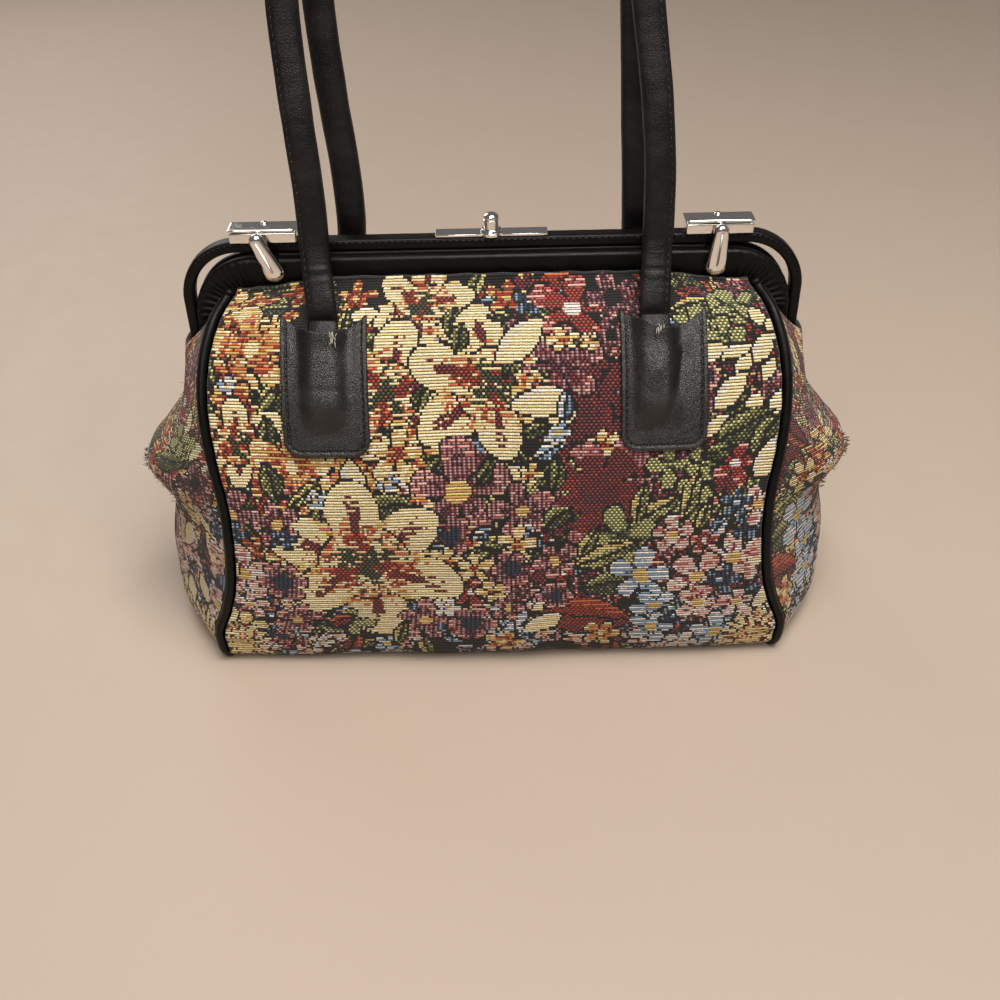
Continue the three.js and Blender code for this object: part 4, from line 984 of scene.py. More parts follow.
# Gusset from under the base end to its top: height at the piping, height at mid depth, reach of the ear.
GUSSET_ROWS = np.array([
    (0.004, 0.006, -0.2), (0.012, 0.004, 0.22), (0.03, 0.01, 0.54), (0.055, 0.034, 0.76), (0.09, 0.078, 0.86),
    (0.165, 0.156, 0.862), (0.25, 0.24, 0.826), (0.325, 0.31, 0.74), (0.38, 0.36, 0.7), (0.43, 0.405, 0.73),
    (0.475, 0.448, 0.89), (0.51, 0.482, 1.0), (0.545, 0.518, 0.93), (0.59, 0.555, 0.73), (0.67, 0.62, 0.43),
    (0.75, 0.68, 0.2), (0.86, 0.755, 0.07), (0.972, 0.822, 0.02),
])

# Broad dents of a panel: place across and up as shares of half width and height, size and depth as shares
# of the half depth.
DENTS = np.array([
    (-0.1, 0.72, 0.45, 0.035), (0.34, 0.42, 0.5, 0.03), (-0.5, 0.3, 0.42, 0.026),
    (-0.82, 0.62, 0.3, 0.03), (0.84, 0.55, 0.3, 0.03), (0.05, 0.14, 0.4, -0.022),
])


@dataclass(frozen=True)
class BodyForm:
    """Main form of the stuffed body in millimetres, as functions of shares along and across its surfaces."""

    half_width: float = 147.5
    height: float = 192.0
    half_depth: float = 70.0
    mouth_depth: float = 9.3
    base_half_depth: float = 52.0
    ear_reach: float = 31.7
    set_back: float = 5.0
    corner_drop: float = 5.0
    piping: float = 2.4
    seam: float = 0.9
    cloth: float = 2.0
    clearance: float = 0.3
    tab_top: float = 179.2
    seat_gap: float = 0.6

    def edge(self, share: Array) -> tuple[Array, Array, Array]:
        """Half width, depth and height of a panel's side edge at shares from the base seam up."""
        row = smooth_rows(EDGE_ROWS[:, [1, 2, 0]], share)
        spread = self.half_depth - self.mouth_depth
        depth = self.mouth_depth + spread * row[..., 1]
        base_depth = self.mouth_depth + spread * EDGE_ROWS[0, 2] - self.clearance
        seam = smooth_step(0.0, 0.1, 0.1 - np.asarray(share)) * (self.base_half_depth - base_depth)
        return self.half_width * row[..., 0], depth + seam, self.height * row[..., 2]

    def panel_half_width(self, share: Array) -> Array:
        """Half width of the cloth between its two runs of piping."""
        return self.edge(share)[0] - 2 * self.piping - self.seam

    def panel_point(self, across: Array, share: Array) -> Array:
        """A point of the front panel's outer face.

        The side edges lie behind the middle by the fourth power of the place sideways, the top corners
        drop softly, and each broad dent pushes in by a bell curve.

        Args:
            across: millimetres from the middle.
            share: share of the edge curve from the base seam up.

        Returns:
            Points, with the front towards -Y.
        """
        across, share = np.broadcast_arrays(np.asarray(across, float), np.asarray(share, float))
        width, depth, height = self.edge(share)
        sideways = np.minimum(np.abs(across) / (width - 2 * self.piping - self.seam), 1)
        drop = self.corner_drop * smooth_step(0.8, 1, share) * smooth_step(0.55, 1, sideways)
        fade = smooth_step(0, 0.25, share) * (1 - smooth_step(0.8, 1, share))
        dent = np.zeros(across.shape)
        for place_x, place_z, size, deep in DENTS:
            away = np.hypot(across - place_x * self.half_width, height - place_z * self.height)
            dent = dent + deep * self.half_depth * np.exp(-((away / (size * self.half_depth)) ** 2))
        dent = dent * fade * (1 - sideways ** 6)
        back = self.set_back * np.interp(share * (len(EDGE_ROWS) - 1), np.arange(len(EDGE_ROWS)), EDGE_ROWS[:, 3])
        return np.stack([across, -(depth - back * sideways ** 4 - dent), height - drop], axis=-1)

    def piping_point(self, share: Array) -> Array:
        """The middle of the front right piping beside a panel's edge."""
        width = self.edge(share)[0]
        beside = self.panel_point(self.panel_half_width(share), share)
        inwards = self.cloth / 2 + smooth_step(0.92, 1, share) * (self.piping - self.cloth / 2)
        depth = np.minimum(beside[..., 1] + inwards, -self.mouth_depth + self.cloth - self.piping)
        return np.stack([width - self.piping, depth, np.maximum(beside[..., 2], self.piping)], axis=-1)

    def share_at_height(self, height: Array) -> Array:
        """The share of the edge curve at a height."""
        share = np.linspace(0, 1, 4001)
        return np.interp(height, self.edge(share)[2], share)

    def gusset_point(self, across: Array, along: Array) -> Array:
        """A point of the right gusset's outer face.

        Across goes from the front piping (0) to the back one (1); the bulge between them is a cosine of
        the distance from mid depth, and its height moves from the middle's to the edge's by a power curve.

        Args:
            across: share from the front piping to the back.
            along: share from the base seam to the top.

        Returns:
            Points, with the side towards +X.
        """
        across, along = np.broadcast_arrays(np.asarray(across, float), np.asarray(along, float))
        row = smooth_rows(GUSSET_ROWS, along)
        from_middle = 2 * across - 1
        outwards = np.abs(from_middle)
        edge = self.piping_point(self.share_at_height(row[..., 0] * self.height))
        upright = smooth_step(0, 0.1, along)
        seam = self.piping + self.seam
        edge_x = edge[..., 0] + seam * (1.25 - 0.35 * upright)
        edge_y = edge[..., 1] + seam * 0.62 * upright
        edge_z = edge[..., 2] - (self.piping - 1) * (1 - upright)
        middle_x = self.half_width + self.cloth + self.clearance + self.ear_reach * row[..., 2]
        x = edge_x + (middle_x - edge_x) * np.cos(np.pi / 2 * outwards)
        y = np.sign(from_middle) * -edge_y * outwards ** (1 - 0.62 * along ** 4)
        middle_z = row[..., 1] * self.height
        return np.stack([x, y, middle_z + (edge_z - middle_z) * outwards ** 2.4], axis=-1)

    def length_table(self) -> tuple[Array, Array]:
        """Shares of the edge curve and the length of cloth up to each."""
        share = np.linspace(0, 1, 1201)
        return share, lengths_along(np.stack(self.edge(share), axis=-1))

    def above_panel(self, across: Array, down: Array, height: Array) -> Array:
        """A point at a height above the panel, at a distance down the cloth from the tabs' top line."""
        share, length = self.length_table()
        top = np.interp(self.share_at_height(np.array(self.tab_top)), share, length)
        place = np.interp(top - np.asarray(down), length, share)
        step = 0.004
        side = self.panel_point(across + 1, place) - self.panel_point(across - 1, place)
        up = self.panel_point(across, place + step) - self.panel_point(across, place - step)
        normal = unit(np.cross(side, up))
        return self.panel_point(across, place) + normal * np.asarray(height)[..., None]


def mirror_points(points: Array, flip_x: bool, flip_y: bool) -> Array:
    """The points seen in a mirror across the plane X = 0, the plane Y = 0, or both."""
    return points * np.array([-1.0 if flip_x else 1.0, -1.0 if flip_y else 1.0, 1.0])


# Tapestry


@dataclass
class WovenPanel:
    """One cut of tapestry: a closed wall on a grid of weave cells, dyed cell by cell."""

    threads: float = THREADS
    inner_dye: Color = (0.012, 0.011, 0.011, 1.0)

    def weave(self, name: str, outer: Array, wall: float, painter: TapestryPainter) -> bpy.types.Object:
        """Makes the wall and its dye.

        Args:
            name: the piece's name.
            outer: the grid of outer points.
            wall: the cloth's thickness inwards.
            painter: holds the yarn of each cell.

        Returns:
            The piece.
        """
        normals = grid_normals(outer)
        middle = outer.reshape(-1, 3).mean(axis=0) * np.array([0.3, 0.3, 1.0])
        towards = np.sign(np.sum(normals * (outer - middle), axis=(0, 1, 2)))
        inner = outer - normals * towards * wall
        piece = closed_sheet(name, outer, inner)
        self.dye(piece, painter, outer.shape[0] - 1, outer.shape[1] - 1)
        return piece

    def dye(self, piece: bpy.types.Object, painter: TapestryPainter, rows: int, columns: int) -> None:
        """Writes each outer cell's colour and ribbing to its corners, and the weave's own coordinates."""
        mesh = piece.data
        cells = rows * columns
        light, ribbed = painter.colors()
        color = np.tile(np.array(self.inner_dye), (len(mesh.loops), 1))
        color[: cells * 4, :3] = np.repeat(light.reshape(-1, 3), 4, axis=0)
        attribute = mesh.color_attributes.new("dye", "FLOAT_COLOR", "CORNER")
        attribute.data.foreach_set("color", color.astype(np.float32).ravel())
        rib = np.zeros(len(mesh.loops))
        rib[: cells * 4] = np.repeat(ribbed.ravel(), 4)
        strength = mesh.attributes.new("rib", "FLOAT", "CORNER")
        strength.data.foreach_set("value", rib.astype(np.float32))
        corner = np.zeros(len(mesh.loops), np.int32)
        mesh.loops.foreach_get("vertex_index", corner)
        corner = corner % ((rows + 1) * (columns + 1))
        place = np.stack([corner % (columns + 1), corner // (columns + 1)], axis=-1) / self.threads
        layer = mesh.uv_layers.new(name="weave")
        layer.data.foreach_set("uv", place.astype(np.float32).ravel())


@dataclass
class TapestryBody:
    """The five cuts of cloth: front, back, two gussets and base."""

    form: BodyForm
    finishes: Finishes
    rib: float = 1.45
    panel_columns: int = 236
    side_rows: int = 168
    side_columns: int = 118
    base_rows: int = 60
    base_columns: int = 160
    allowance: float = 0.002

    def panel_grid(self) -> tuple[Array, Array, Array]:
        """Outer points of the front panel, and each cell's place across and up the cloth."""
        share, length = self.form.length_table()
        rows, columns = round(length[-1] / self.rib), self.panel_columns
        up = np.linspace(0, length[-1], rows + 1)
        at = np.interp(up, length, share)[:, None]
        across = np.linspace(-1, 1, columns + 1)[None, :] * self.form.panel_half_width(at)
        points = self.form.panel_point(across, at)
        points = points + grid_normals(points) * self.relief(across, up[:, None], length[-1])[..., None]
        cell_across = cell_middles(across)
        cell_up = np.broadcast_to(((up[:-1] + up[1:]) / 2)[:, None], cell_across.shape)
        return points, cell_across, cell_up

    def relief(self, across: Array, up: Array, top: float) -> Array:
        """Unevenness of the stuffed cloth: slack noise, puckers along the side seams and under the mouth.

        Args:
            across: millimetres from the middle.
            up: millimetres up the cloth.
            top: length of the cloth.

        Returns:
            Heights in millimetres along the grid's normal, inwards as plus.
        """
        across, up = np.broadcast_arrays(across, up)
        slack = 0.75 + 0.75 * soft_noise(across, up, 34.0, Seed.SLACK)
        slack = slack + 0.3 * soft_noise(across, up, 13.0, Seed.SMALL_SLACK)
        edge = 137.0 - np.abs(across)
        ripple = np.sin(up / 1.9 + 2.0 * soft_noise(across, up, 25.0, Seed.PUCKER))
        pucker = 0.55 * np.exp(-np.clip(edge, 0, None) / 7.0) * ripple
        ripple = np.sin(across / 2.6 + 3.0 * soft_noise(across, up, 30.0, Seed.MOUTH))
        mouth = 0.7 * np.exp(-(top - up) / 7.0) * (1 + ripple)
        hem = np.clip(1 - (top - up) / 1.5, 0, 1) * 0.7
        fade = smooth_step(0, 5, up)
        return (slack * smooth_step(0, 6, top - up) + pucker + mouth * 0.5) * fade + hem

    def painter(self, across: Array, up: Array, seed: int, motifs: Sequence[Motif]) -> TapestryPainter:
        """Draws the ground of leaves and small flowers, then the motifs."""
        painter = TapestryPainter(across, up, seed)
        low_x, high_x, high_y = float(across.min()), float(across.max()), float(up.max())
        painter.scatter(GROUND_KINDS, 620, (7.0, 13.0), (low_x, 0, high_x, high_y))
        painter.scatter(WARM_KINDS, 150, (5.0, 10.0), (low_x, 60, low_x * 0.1, high_y))
        painter.scatter(COOL_KINDS, 150, (4.0, 8.0), (low_x, 0, high_x, 75))
        painter.scatter(DEEP_KINDS, 90, (6.0, 11.0), (low_x * 0.1, 60, high_x, high_y))
        for motif in motifs:
            painter.draw(motif)
        return painter

    def side_painter(self, across: Array, up: Array, seed: int, motifs: Sequence[Motif]) -> TapestryPainter:
        """Draws a gusset: as a panel, with deep red flowers over its upper part."""
        painter = self.painter(across, up, seed, motifs)
        box = (float(across.min()), 105, float(across.max()), float(up.max()))
        painter.scatter(DEEP_KINDS + WARM_KINDS, 46, (8.0, 15.0), box)
        return painter

    def panels(self) -> None:
        """Front and back panel."""
        points, across, up = self.panel_grid()
        weaver = WovenPanel()
        front = weaver.weave("tapestry_front", points, self.form.cloth,
                             self.painter(across, up, Seed.FRONT, moved_motifs(0, 0)))
        back = weaver.weave("tapestry_back", mirror_points(points, False, True), self.form.cloth,
                            self.painter(-across, up, Seed.BACK, moved_motifs(118, 74)))
        for piece, node in ((front, "front_panel"), (back, "back_panel")):
            finish_piece(piece, self.finishes.tapestry, nodes=(node,))

    def gussets(self) -> None:
        """The two side cuts, with the ear where the cloth folds out."""
        rows, columns = self.side_rows, self.side_columns
        across = np.linspace(0, 1, columns + 1)[None, :]
        along = self.even_rows(np.linspace(0, 1, rows + 1))[:, None]
        points = self.form.gusset_point(across, along)
        place = (across * 118, along * 230)
        slack = 0.5 * soft_noise(*place, 21.0, Seed.SIDE_SLACK) + 0.25 * soft_noise(*place, 9.0, Seed.SIDE_SMALL_SLACK)
        rim = np.minimum(smooth_step(0, 0.08, across) * (1 - smooth_step(0.92, 1, across)),
                         smooth_step(0, 0.05, along) * (1 - smooth_step(0.95, 1, along)))
        points = points + np.array([-1.0, 0.0, 0.0]) * ((0.5 + slack) * rim)[..., None]
        up = lengths_along(points[:, columns // 2])
        widths = np.linalg.norm(np.diff(points, axis=1), axis=-1)
        cross = np.concatenate([np.zeros((rows + 1, 1)), np.cumsum(widths, axis=1)], axis=1)
        cross = cross - cross[:, -1:] / 2
        cell_across = cell_middles(cross)
        cell_up = np.broadcast_to(((up[:-1] + up[1:]) / 2)[:, None], cell_across.shape)
        sides = (("right", False, Seed.RIGHT_SIDE, (-118, 30)), ("left", True, Seed.LEFT_SIDE, (96, 12)))
        for side, flip, seed, offset in sides:
            piece = WovenPanel().weave(
                f"tapestry_side_{side}", mirror_points(points, flip, False), self.form.cloth,
                self.side_painter(cell_across, cell_up, seed, moved_motifs(*offset)))
            finish_piece(piece, self.finishes.tapestry, nodes=(f"gusset_{side}",))

    def even_rows(self, share: Array) -> Array:
        """Shares along the gusset at equal lengths of its middle line."""
        dense = np.linspace(0, 1, 1500)
        length = lengths_along(self.form.gusset_point(np.full(1500, 0.3), dense))
        return np.interp(share * length[-1], length, dense)

    def base(self) -> None:
        """The flat cut under the bag."""
        half = float(self.form.panel_half_width(np.array(0.0)))
        columns, rows = self.base_columns, self.base_rows
        x = np.linspace(-half, half, columns + 1)[None, :]
        y = np.linspace(-self.form.base_half_depth, self.form.base_half_depth, rows + 1)[:, None]
        x, y = np.broadcast_arrays(x, y)
        outer = np.stack([x, y, np.zeros(x.shape)], axis=-1)
        inner = outer + np.array([0, 0, self.form.cloth])
        piece = closed_sheet("tapestry_base", outer, inner)
        painter = self.painter(cell_middles(x), cell_middles(y) + 60, Seed.BASE, moved_motifs(40, -60))
        WovenPanel().dye(piece, painter, rows, columns)
        finish_piece(piece, self.finishes.tapestry, nodes=("base_panel",))

    def build(self) -> None:
        """All five cuts."""
        self.panels()
        self.gussets()
        self.base()


# Leather


@dataclass
class Piping:
    """Leather piping down the front edges, under the base ends and up the back."""

    form: BodyForm
    finishes: Finishes
    stations: int = 620
    sides: int = 14

    def build(self) -> None:
        """Both runs, with small wrinkles and a slow wave along their length."""
        share = np.linspace(1, 0, 90)
        down = self.form.piping_point(share)
        corner = down[-1]
        under = corner * np.array([[1, 0.5, 1], [1, 0, 1], [1, -0.5, 1]])
        path = even_path(np.concatenate([down, under, mirror_points(down[::-1], False, True)]), self.stations)
        angle = even_turn(self.sides)
        length = np.linspace(0, 1, self.stations)[:, None] * 640.0
        wrinkle = 1 + 0.02 * soft_noise(length, angle[None, :] * 3, 2.2, Seed.PIPING_WRINKLE)
        wrinkle = wrinkle + 0.03 * soft_noise(length, 0 * angle, 9.0, Seed.PIPING_WAVE)
        radius = (self.form.piping - 0.1) * wrinkle
        section = np.stack([radius * np.cos(angle), radius * np.sin(angle)], axis=-1)
        rings = rings_along(path, np.array([1.0, 0.0, 0.0]), section)
        for side, flip in (("right", False), ("left", True)):
            piece = closed_bar(f"piping_cord_{side}", mirror_points(rings, flip, False))
            finish_piece(piece, self.finishes.frame_leather, nodes=(f"piping_{side}",))


@dataclass(frozen=True)
class HoopLine:
    """Outer edge line of a frame member: an inverted U with round corners."""

    half_width: float
    top: float
    corner: float
    leg: float

    def stations(self, count: int) -> tuple[Array, Array, Array]:
        """Places at equal distances along the line.

        Args:
            count: how many.

        Returns:
            Points, directions inwards, and the length up to each.
        """
        arc = self.corner * np.pi / 2
        straight = 2 * (self.half_width - self.corner)
        leg = self.leg - self.corner
        total = 2 * leg + 2 * arc + straight
        length = np.linspace(0, total, count)
        half = np.minimum(length, total - length)
        angle = np.clip((half - leg) / arc, 0, 1) * np.pi / 2
        over = np.clip(half - leg - arc, 0, None)
        x = -self.half_width + self.corner * (1 - np.cos(angle)) + over
        z = self.top - self.corner * (1 - np.sin(angle)) - np.clip(leg - half, 0, None)
        sign = np.where(length <= total / 2, 1.0, -1.0)
        points = np.stack([x * sign, 0 * x, z], axis=-1)
        inwards = np.stack([np.cos(angle) * sign, 0 * x, -np.sin(angle)], axis=-1)
        return points, inwards, length


# Facing: width of its band from the middle of its length (0) to its ends (1).
FACING_WIDTHS = np.array([(0, 1), (0.55, 1), (0.68, 1.12), (0.82, 1.2), (0.93, 0.72), (1, 0.25)])

# Facing's section from its rolled edge down the front and up behind the cloth: share of the band, share of
# the depth.
FACING_SECTION = np.array([
    (0.02, 0.3), (0.0, 0.5), (0.005, 0.68), (0.03, 0.86), (0.07, 0.96), (0.12, 1.0), (0.2, 1.0), (0.3, 0.985),
    (0.4, 0.97), (0.5, 0.96), (0.6, 0.95), (0.7, 0.93), (0.8, 0.91), (0.9, 0.88), (1.0, 0.85), (1.0, 0.3),
    (0.6, 0.24), (0.3, 0.2), (0.1, 0.16),
])


@dataclass
class FrameLeather:
    """The leather-covered hoop and the two facings under it."""

    form: BodyForm
    finishes: Finishes
    thickness: float = 5.5
    depth: float = 8.0
    recess: float = 1.8
    band: float = 8.7
    lap: float = 6.0
    facing_depth: float = 7.0
    corner: float = 29.0
    hoop_leg: float = 68.0

    @property
    def facing_top(self) -> float:
        """Height of the facings' top edge."""
        return self.form.height + self.band

    @property
    def hoop_top(self) -> float:
        """Height of the hoop's top."""
        return self.facing_top + self.recess + self.thickness

    def hoop(self) -> None:
        """Hoop: a rounded rectangle with soft wraps of leather, carried along the inverted U."""
        line = HoopLine(self.form.half_width, self.hoop_top, self.corner, self.hoop_leg)
        points, inwards, length = line.stations(520)
        across = round_section(self.thickness / 2, self.depth / 2, 28, 0.42)
        wave = 1 + 0.012 * soft_noise(length[:, None], np.arange(28)[None, :] * 0.7, 5.0, Seed.HOOP)
        wave[[0, -1]] *= 0.8
        inside = self.thickness / 2 + across[:, 0][None, :] * wave
        rings = points[:, None] + inwards[:, None] * inside[..., None]
        rings = rings + (across[:, 1][None, :] * wave)[..., None] * np.array([0.0, 1.0, 0.0])
        finish_piece(closed_bar("hoop_leather", rings), self.finishes.frame_leather, nodes=("frame_hoop",))
        self.hoop_stitches(points, inwards, length)

    def hoop_stitches(self, points: Array, inwards: Array, length: Array) -> None:
        """A row of small stitches along the front face near the hoop's top edge."""
        end_gap, pitch, stitch, radius = 60.0, 3.0, 1.9, 0.22
        begin = np.arange(end_gap, length[-1] - end_gap, pitch)
        seam = points + (inwards * 1.25 + np.array([0.0, -self.depth / 2 + 0.1, 0.0]))
        lift = np.tile(np.array([0.0, -radius, 0.0]), (len(begin), 1))
        starts, ends = read_line(seam, length, begin), read_line(seam, length, begin + stitch)
        stitches = thread_pieces("hoop_stitches", starts, ends, radius, lift)
        finish_piece(stitches, self.finishes.dark_thread)

    def facing(self, name: str, node: str, flip: bool) -> None:
        """A facing: rolled top edge, flat band, and gathers fanned round its corners.

        The section goes from the rolled edge over the front down behind the cloth; across the corners a
        sine of the length folds the leather, more towards the inner edge.

        Args:
            name: the piece's name.
            node: the solid that it stands for.
            flip: whether it is the back one.
        """
        half = self.form.half_width - self.thickness - self.form.clearance
        leg = self.corner + self.form.cloth + self.thickness
        points, inwards, length = HoopLine(half, self.facing_top, self.corner, leg).stations(560)
        along = np.abs(2 * length / length[-1] - 1)
        band = (self.band + self.lap) * np.interp(along, FACING_WIDTHS[:, 0], FACING_WIDTHS[:, 1])
        share, deep = FACING_SECTION[:, 0], FACING_SECTION[:, 1]
        bend = smooth_step(0.6, 0.74, along) * (1 - smooth_step(0.93, 1.0, along))
        stray = 2.2 * soft_noise(length, 0 * length, 6.0, Seed.GATHERS)[:, None]
        fold = 0.42 * bend[:, None] * np.sin(length[:, None] / 0.62 + stray)
        soft = 0.16 * soft_noise(length[:, None], share[None, :] * 14, 7.0, Seed.FACING)
        front = (deep > 0.8) * np.clip(share * 3.2, 0.1, 1)
        depth = np.maximum(deep * self.facing_depth + (fold * front + soft * front), 0.5)
        width = band[:, None] * share
        rings = points[:, None] + inwards[:, None] * width[..., None]
        rings[..., 1] = -depth
        piece = closed_bar(name, mirror_points(rings, False, flip))
        seat = self.seat(name + "_seat", flip)
        piece = join_pieces(name, [piece, seat])
        finish_piece(piece, self.finishes.frame_leather, nodes=(node,))

    def seat(self, name: str, flip: bool) -> bpy.types.Object:
        """The thin upright edge that seats under the hoop."""
        rise = self.recess - self.form.clearance
        x = np.linspace(-100, 100, 160)
        path = np.stack([x, 0 * x - 3.0, 0 * x + self.facing_top + rise / 2 - 1.5], axis=-1)
        section = round_section(1.0, rise / 2 + 1.5, 12, 0.5)
        return closed_bar(name, mirror_points(rings_along(path, np.array([0.0, 0.0, 1.0]), section), False, flip))

    def build(self) -> None:
        """Hoop and both facings."""
        self.hoop()
        self.facing("facing_front", "front_facing", False)
        self.facing("facing_back", "back_facing", True)


# Sides of each handle from its tab's mouth up to the arch: height as a share of the rise to the top, left
# and right as shares of the tabs' spread, depth as a share of the half depth.
FRONT_HANDLE_ROWS = np.array([
    (-0.03, -1.0, 0.95, 0.41), (0.03, -1.02, 0.957, 0.29), (0.085, -1.028, 0.965, 0.22),
    (0.2, -1.032, 0.962, 0.175), (0.33, -1.055, 0.935, 0.115), (0.54, -1.085, 0.857, -0.04),
])
BACK_HANDLE_ROWS = np.array([
    (-0.03, -0.91, 0.92, 0.41), (0.03, -0.868, 0.895, 0.29), (0.085, -0.852, 0.885, 0.24),
    (0.2, -0.864, 0.87, 0.27), (0.33, -0.9, 0.853, 0.31), (0.54, -0.932, 0.825, 0.36),
])


@dataclass
class Handle:
    """A padded loop handle with the tab at each of its ends."""

    form: BodyForm
    finishes: Finishes
    face: str
    rows: Array
    top: float = 415.0
    spread: float = 78.0
    width: float = 13.8
    thickness: float = 8.6
    end_thickness: float = 4.6
    tab_half_width: float = 20.0
    tab_length: float = 66.0
    tab_corner: float = 8.0
    tab_dip: float = 11.0
    leather: float = 2.0
    stations: int = 520
    sides: int = 30
    squareness: float = 0.74
    groove: float = 0.72
    seam_inset: float = 2.75

    @property
    def flip(self) -> bool:
        """Whether the handle is the back one."""
        return self.face == "back"

    def placed(self, points: Array) -> Array:
        """Points of the front handle, or of its mirror image at the back."""
        return mirror_points(points, False, self.flip)

    def places(self, side: float) -> tuple[float, float]:
        """Places across of the middle of a side's tab and of the strap's end under it."""
        return side * self.spread, self.spread * self.rows[0, 2 if side > 0 else 1]

    def path(self) -> Array:
        """Middle line: under the left tab, up, over a half ellipse, and down under the right tab."""
        down = np.array([0.55, 0.42, 0.3, 0.2, 0.11, 0.05]) * self.tab_length
        height = np.full(6, self.form.seat_gap + self.end_thickness / 2)
        ends = [self.form.above_panel(np.full(6, self.spread * self.rows[0, k]), down, height) for k in (1, 2)]
        depth = -self.rows[:, 3] * self.form.half_depth
        rise = self.form.height + self.rows[:, 0] * (self.top - self.form.height)
        sides = [np.stack([self.rows[:, k] * self.spread, depth, rise], axis=-1) for k in (1, 2)]
        (low_x, deep, low_z), high_x = sides[0][-1], sides[1][-1, 0]
        angle = np.arange(1, 9) / 9 * np.pi
        arch = np.stack([(low_x + high_x) / 2 - (high_x - low_x) / 2 * np.cos(angle), 0 * angle + deep,
                         low_z + (self.top - low_z) * np.sin(angle)], axis=-1)
        points = np.concatenate([ends[0], sides[0], arch, sides[1][::-1], ends[1][::-1]])
        return even_path(points, self.stations)

    def strap(self) -> None:
        """The padded strap.

        Its section is a squared oval, flattened at both ends, with a shallow seam groove beside its outer
        edge, cross wrinkles above the tabs and slow unevenness along its length.
        """
        path = self.path()
        length = lengths_along(path)
        from_end = np.minimum(length, length[-1] - length)
        grown = smooth_step(self.tab_length * 0.54, self.tab_length * 0.9, from_end)
        thick = self.end_thickness + (self.thickness - self.end_thickness) * grown
        unit_section = round_section(1.0, 1.0, self.sides, self.squareness)
        crease = np.exp(-(((from_end - self.tab_length * 0.85) / 9.0) ** 2))
        wave = 0.02 * soft_noise(length[:, None], unit_section[None, :, 0] * 9, 12.0, Seed.STRAP)
        wrinkle = 0.09 * crease * np.sin(length * 1.7 + 2 * np.sin(length * 0.4))
        bends = 0.012 * np.sin(length * 0.9 + 3 * soft_noise(length, 0 * length, 30.0, Seed.STRAP_BENDS))
        groove = 0.13 * np.exp(-(((unit_section[:, 0] + self.groove) / 0.13) ** 2)) * (unit_section[:, 1] > 0)
        scale = (1 + wave + (wrinkle + bends)[:, None] - groove[None, :]) * 0.975
        wide = unit_section[None, :, 0] * self.width / 2 * (1 + wave)
        deep = unit_section[None, :, 1] * thick[:, None] / 2 * scale
        rings = rings_along(path, np.array([0.0, -1.0, 0.0]), np.stack([wide, deep], axis=-1))
        strap = closed_bar(f"handle_strap_{self.face}", self.placed(rings))
        finish_piece(strap, self.finishes.handle_leather, nodes=(f"handle_{self.face}",))
        self.strap_stitches(path, length, rings)

    def strap_stitches(self, path: Array, length: Array, rings: Array) -> None:
        """A row of stitches in the strap's seam groove."""
        end_gap, pitch, stitch, radius, rise = 40.0, 3.4, 2.3, 0.26, 0.2
        section = round_section(1.0, 1.0, self.sides, self.squareness)
        column = int(np.argmin(np.abs(section[:, 0] + self.groove) + 9 * (section[:, 1] < 0)))
        line, out = rings[:, column], unit(rings[:, column] - path)
        begin = np.arange(end_gap, length[-1] - end_gap, pitch)
        starts, ends = read_line(line, length, begin), read_line(line, length, begin + stitch)
        lift = read_line(out, length, begin) * rise
        stitches = thread_pieces(f"handle_stitches_{self.face}", self.placed(starts), self.placed(ends), radius,
                                 self.placed(lift))
        finish_piece(stitches, self.finishes.dark_thread)

    def pocket(self, from_strap: Array, down: Array) -> Array:
        """Height of the hollow under the tab that holds the strap's end."""
        wide = np.exp(-((np.abs(from_strap) / (self.width * 0.66)) ** 4))
        mouth = 1 + 0.75 * (1 - smooth_step(self.tab_dip * 0.5, self.tab_dip + self.tab_length * 0.12, down))
        tail = 1 - smooth_step(self.tab_length * 0.6, self.tab_length * 0.86, down)
        return (self.end_thickness + 2 * self.form.clearance) * wide * mouth * tail

    def tab_outline(self, from_centre: Array, share: Array) -> tuple[Array, Array]:
        """Places across and down the cloth of a tab with a hollow top edge and round lower corners."""
        dip = self.tab_dip * (1 - np.abs(from_centre) ** 1.6) * (1 - share)
        down = share * self.tab_length + dip
        near_end = np.clip((down - (self.tab_length - self.tab_corner)) / self.tab_corner, 0, 1)
        half = self.tab_half_width - self.tab_corner * (1 - np.sqrt(1 - near_end ** 2))
        return from_centre * half, down

    def edge_distance(self, across: Array, down: Array) -> Array:
        """Distance in from the tab's sides and rounded lower end."""
        side = np.abs(across) - (self.tab_half_width - self.tab_corner)
        end = down - (self.tab_length - self.tab_corner)
        corner = self.tab_corner - np.hypot(side, end)
        straight = np.minimum(self.tab_corner - side, self.tab_corner - end)
        return np.where((side > 0) & (end > 0), corner, straight)

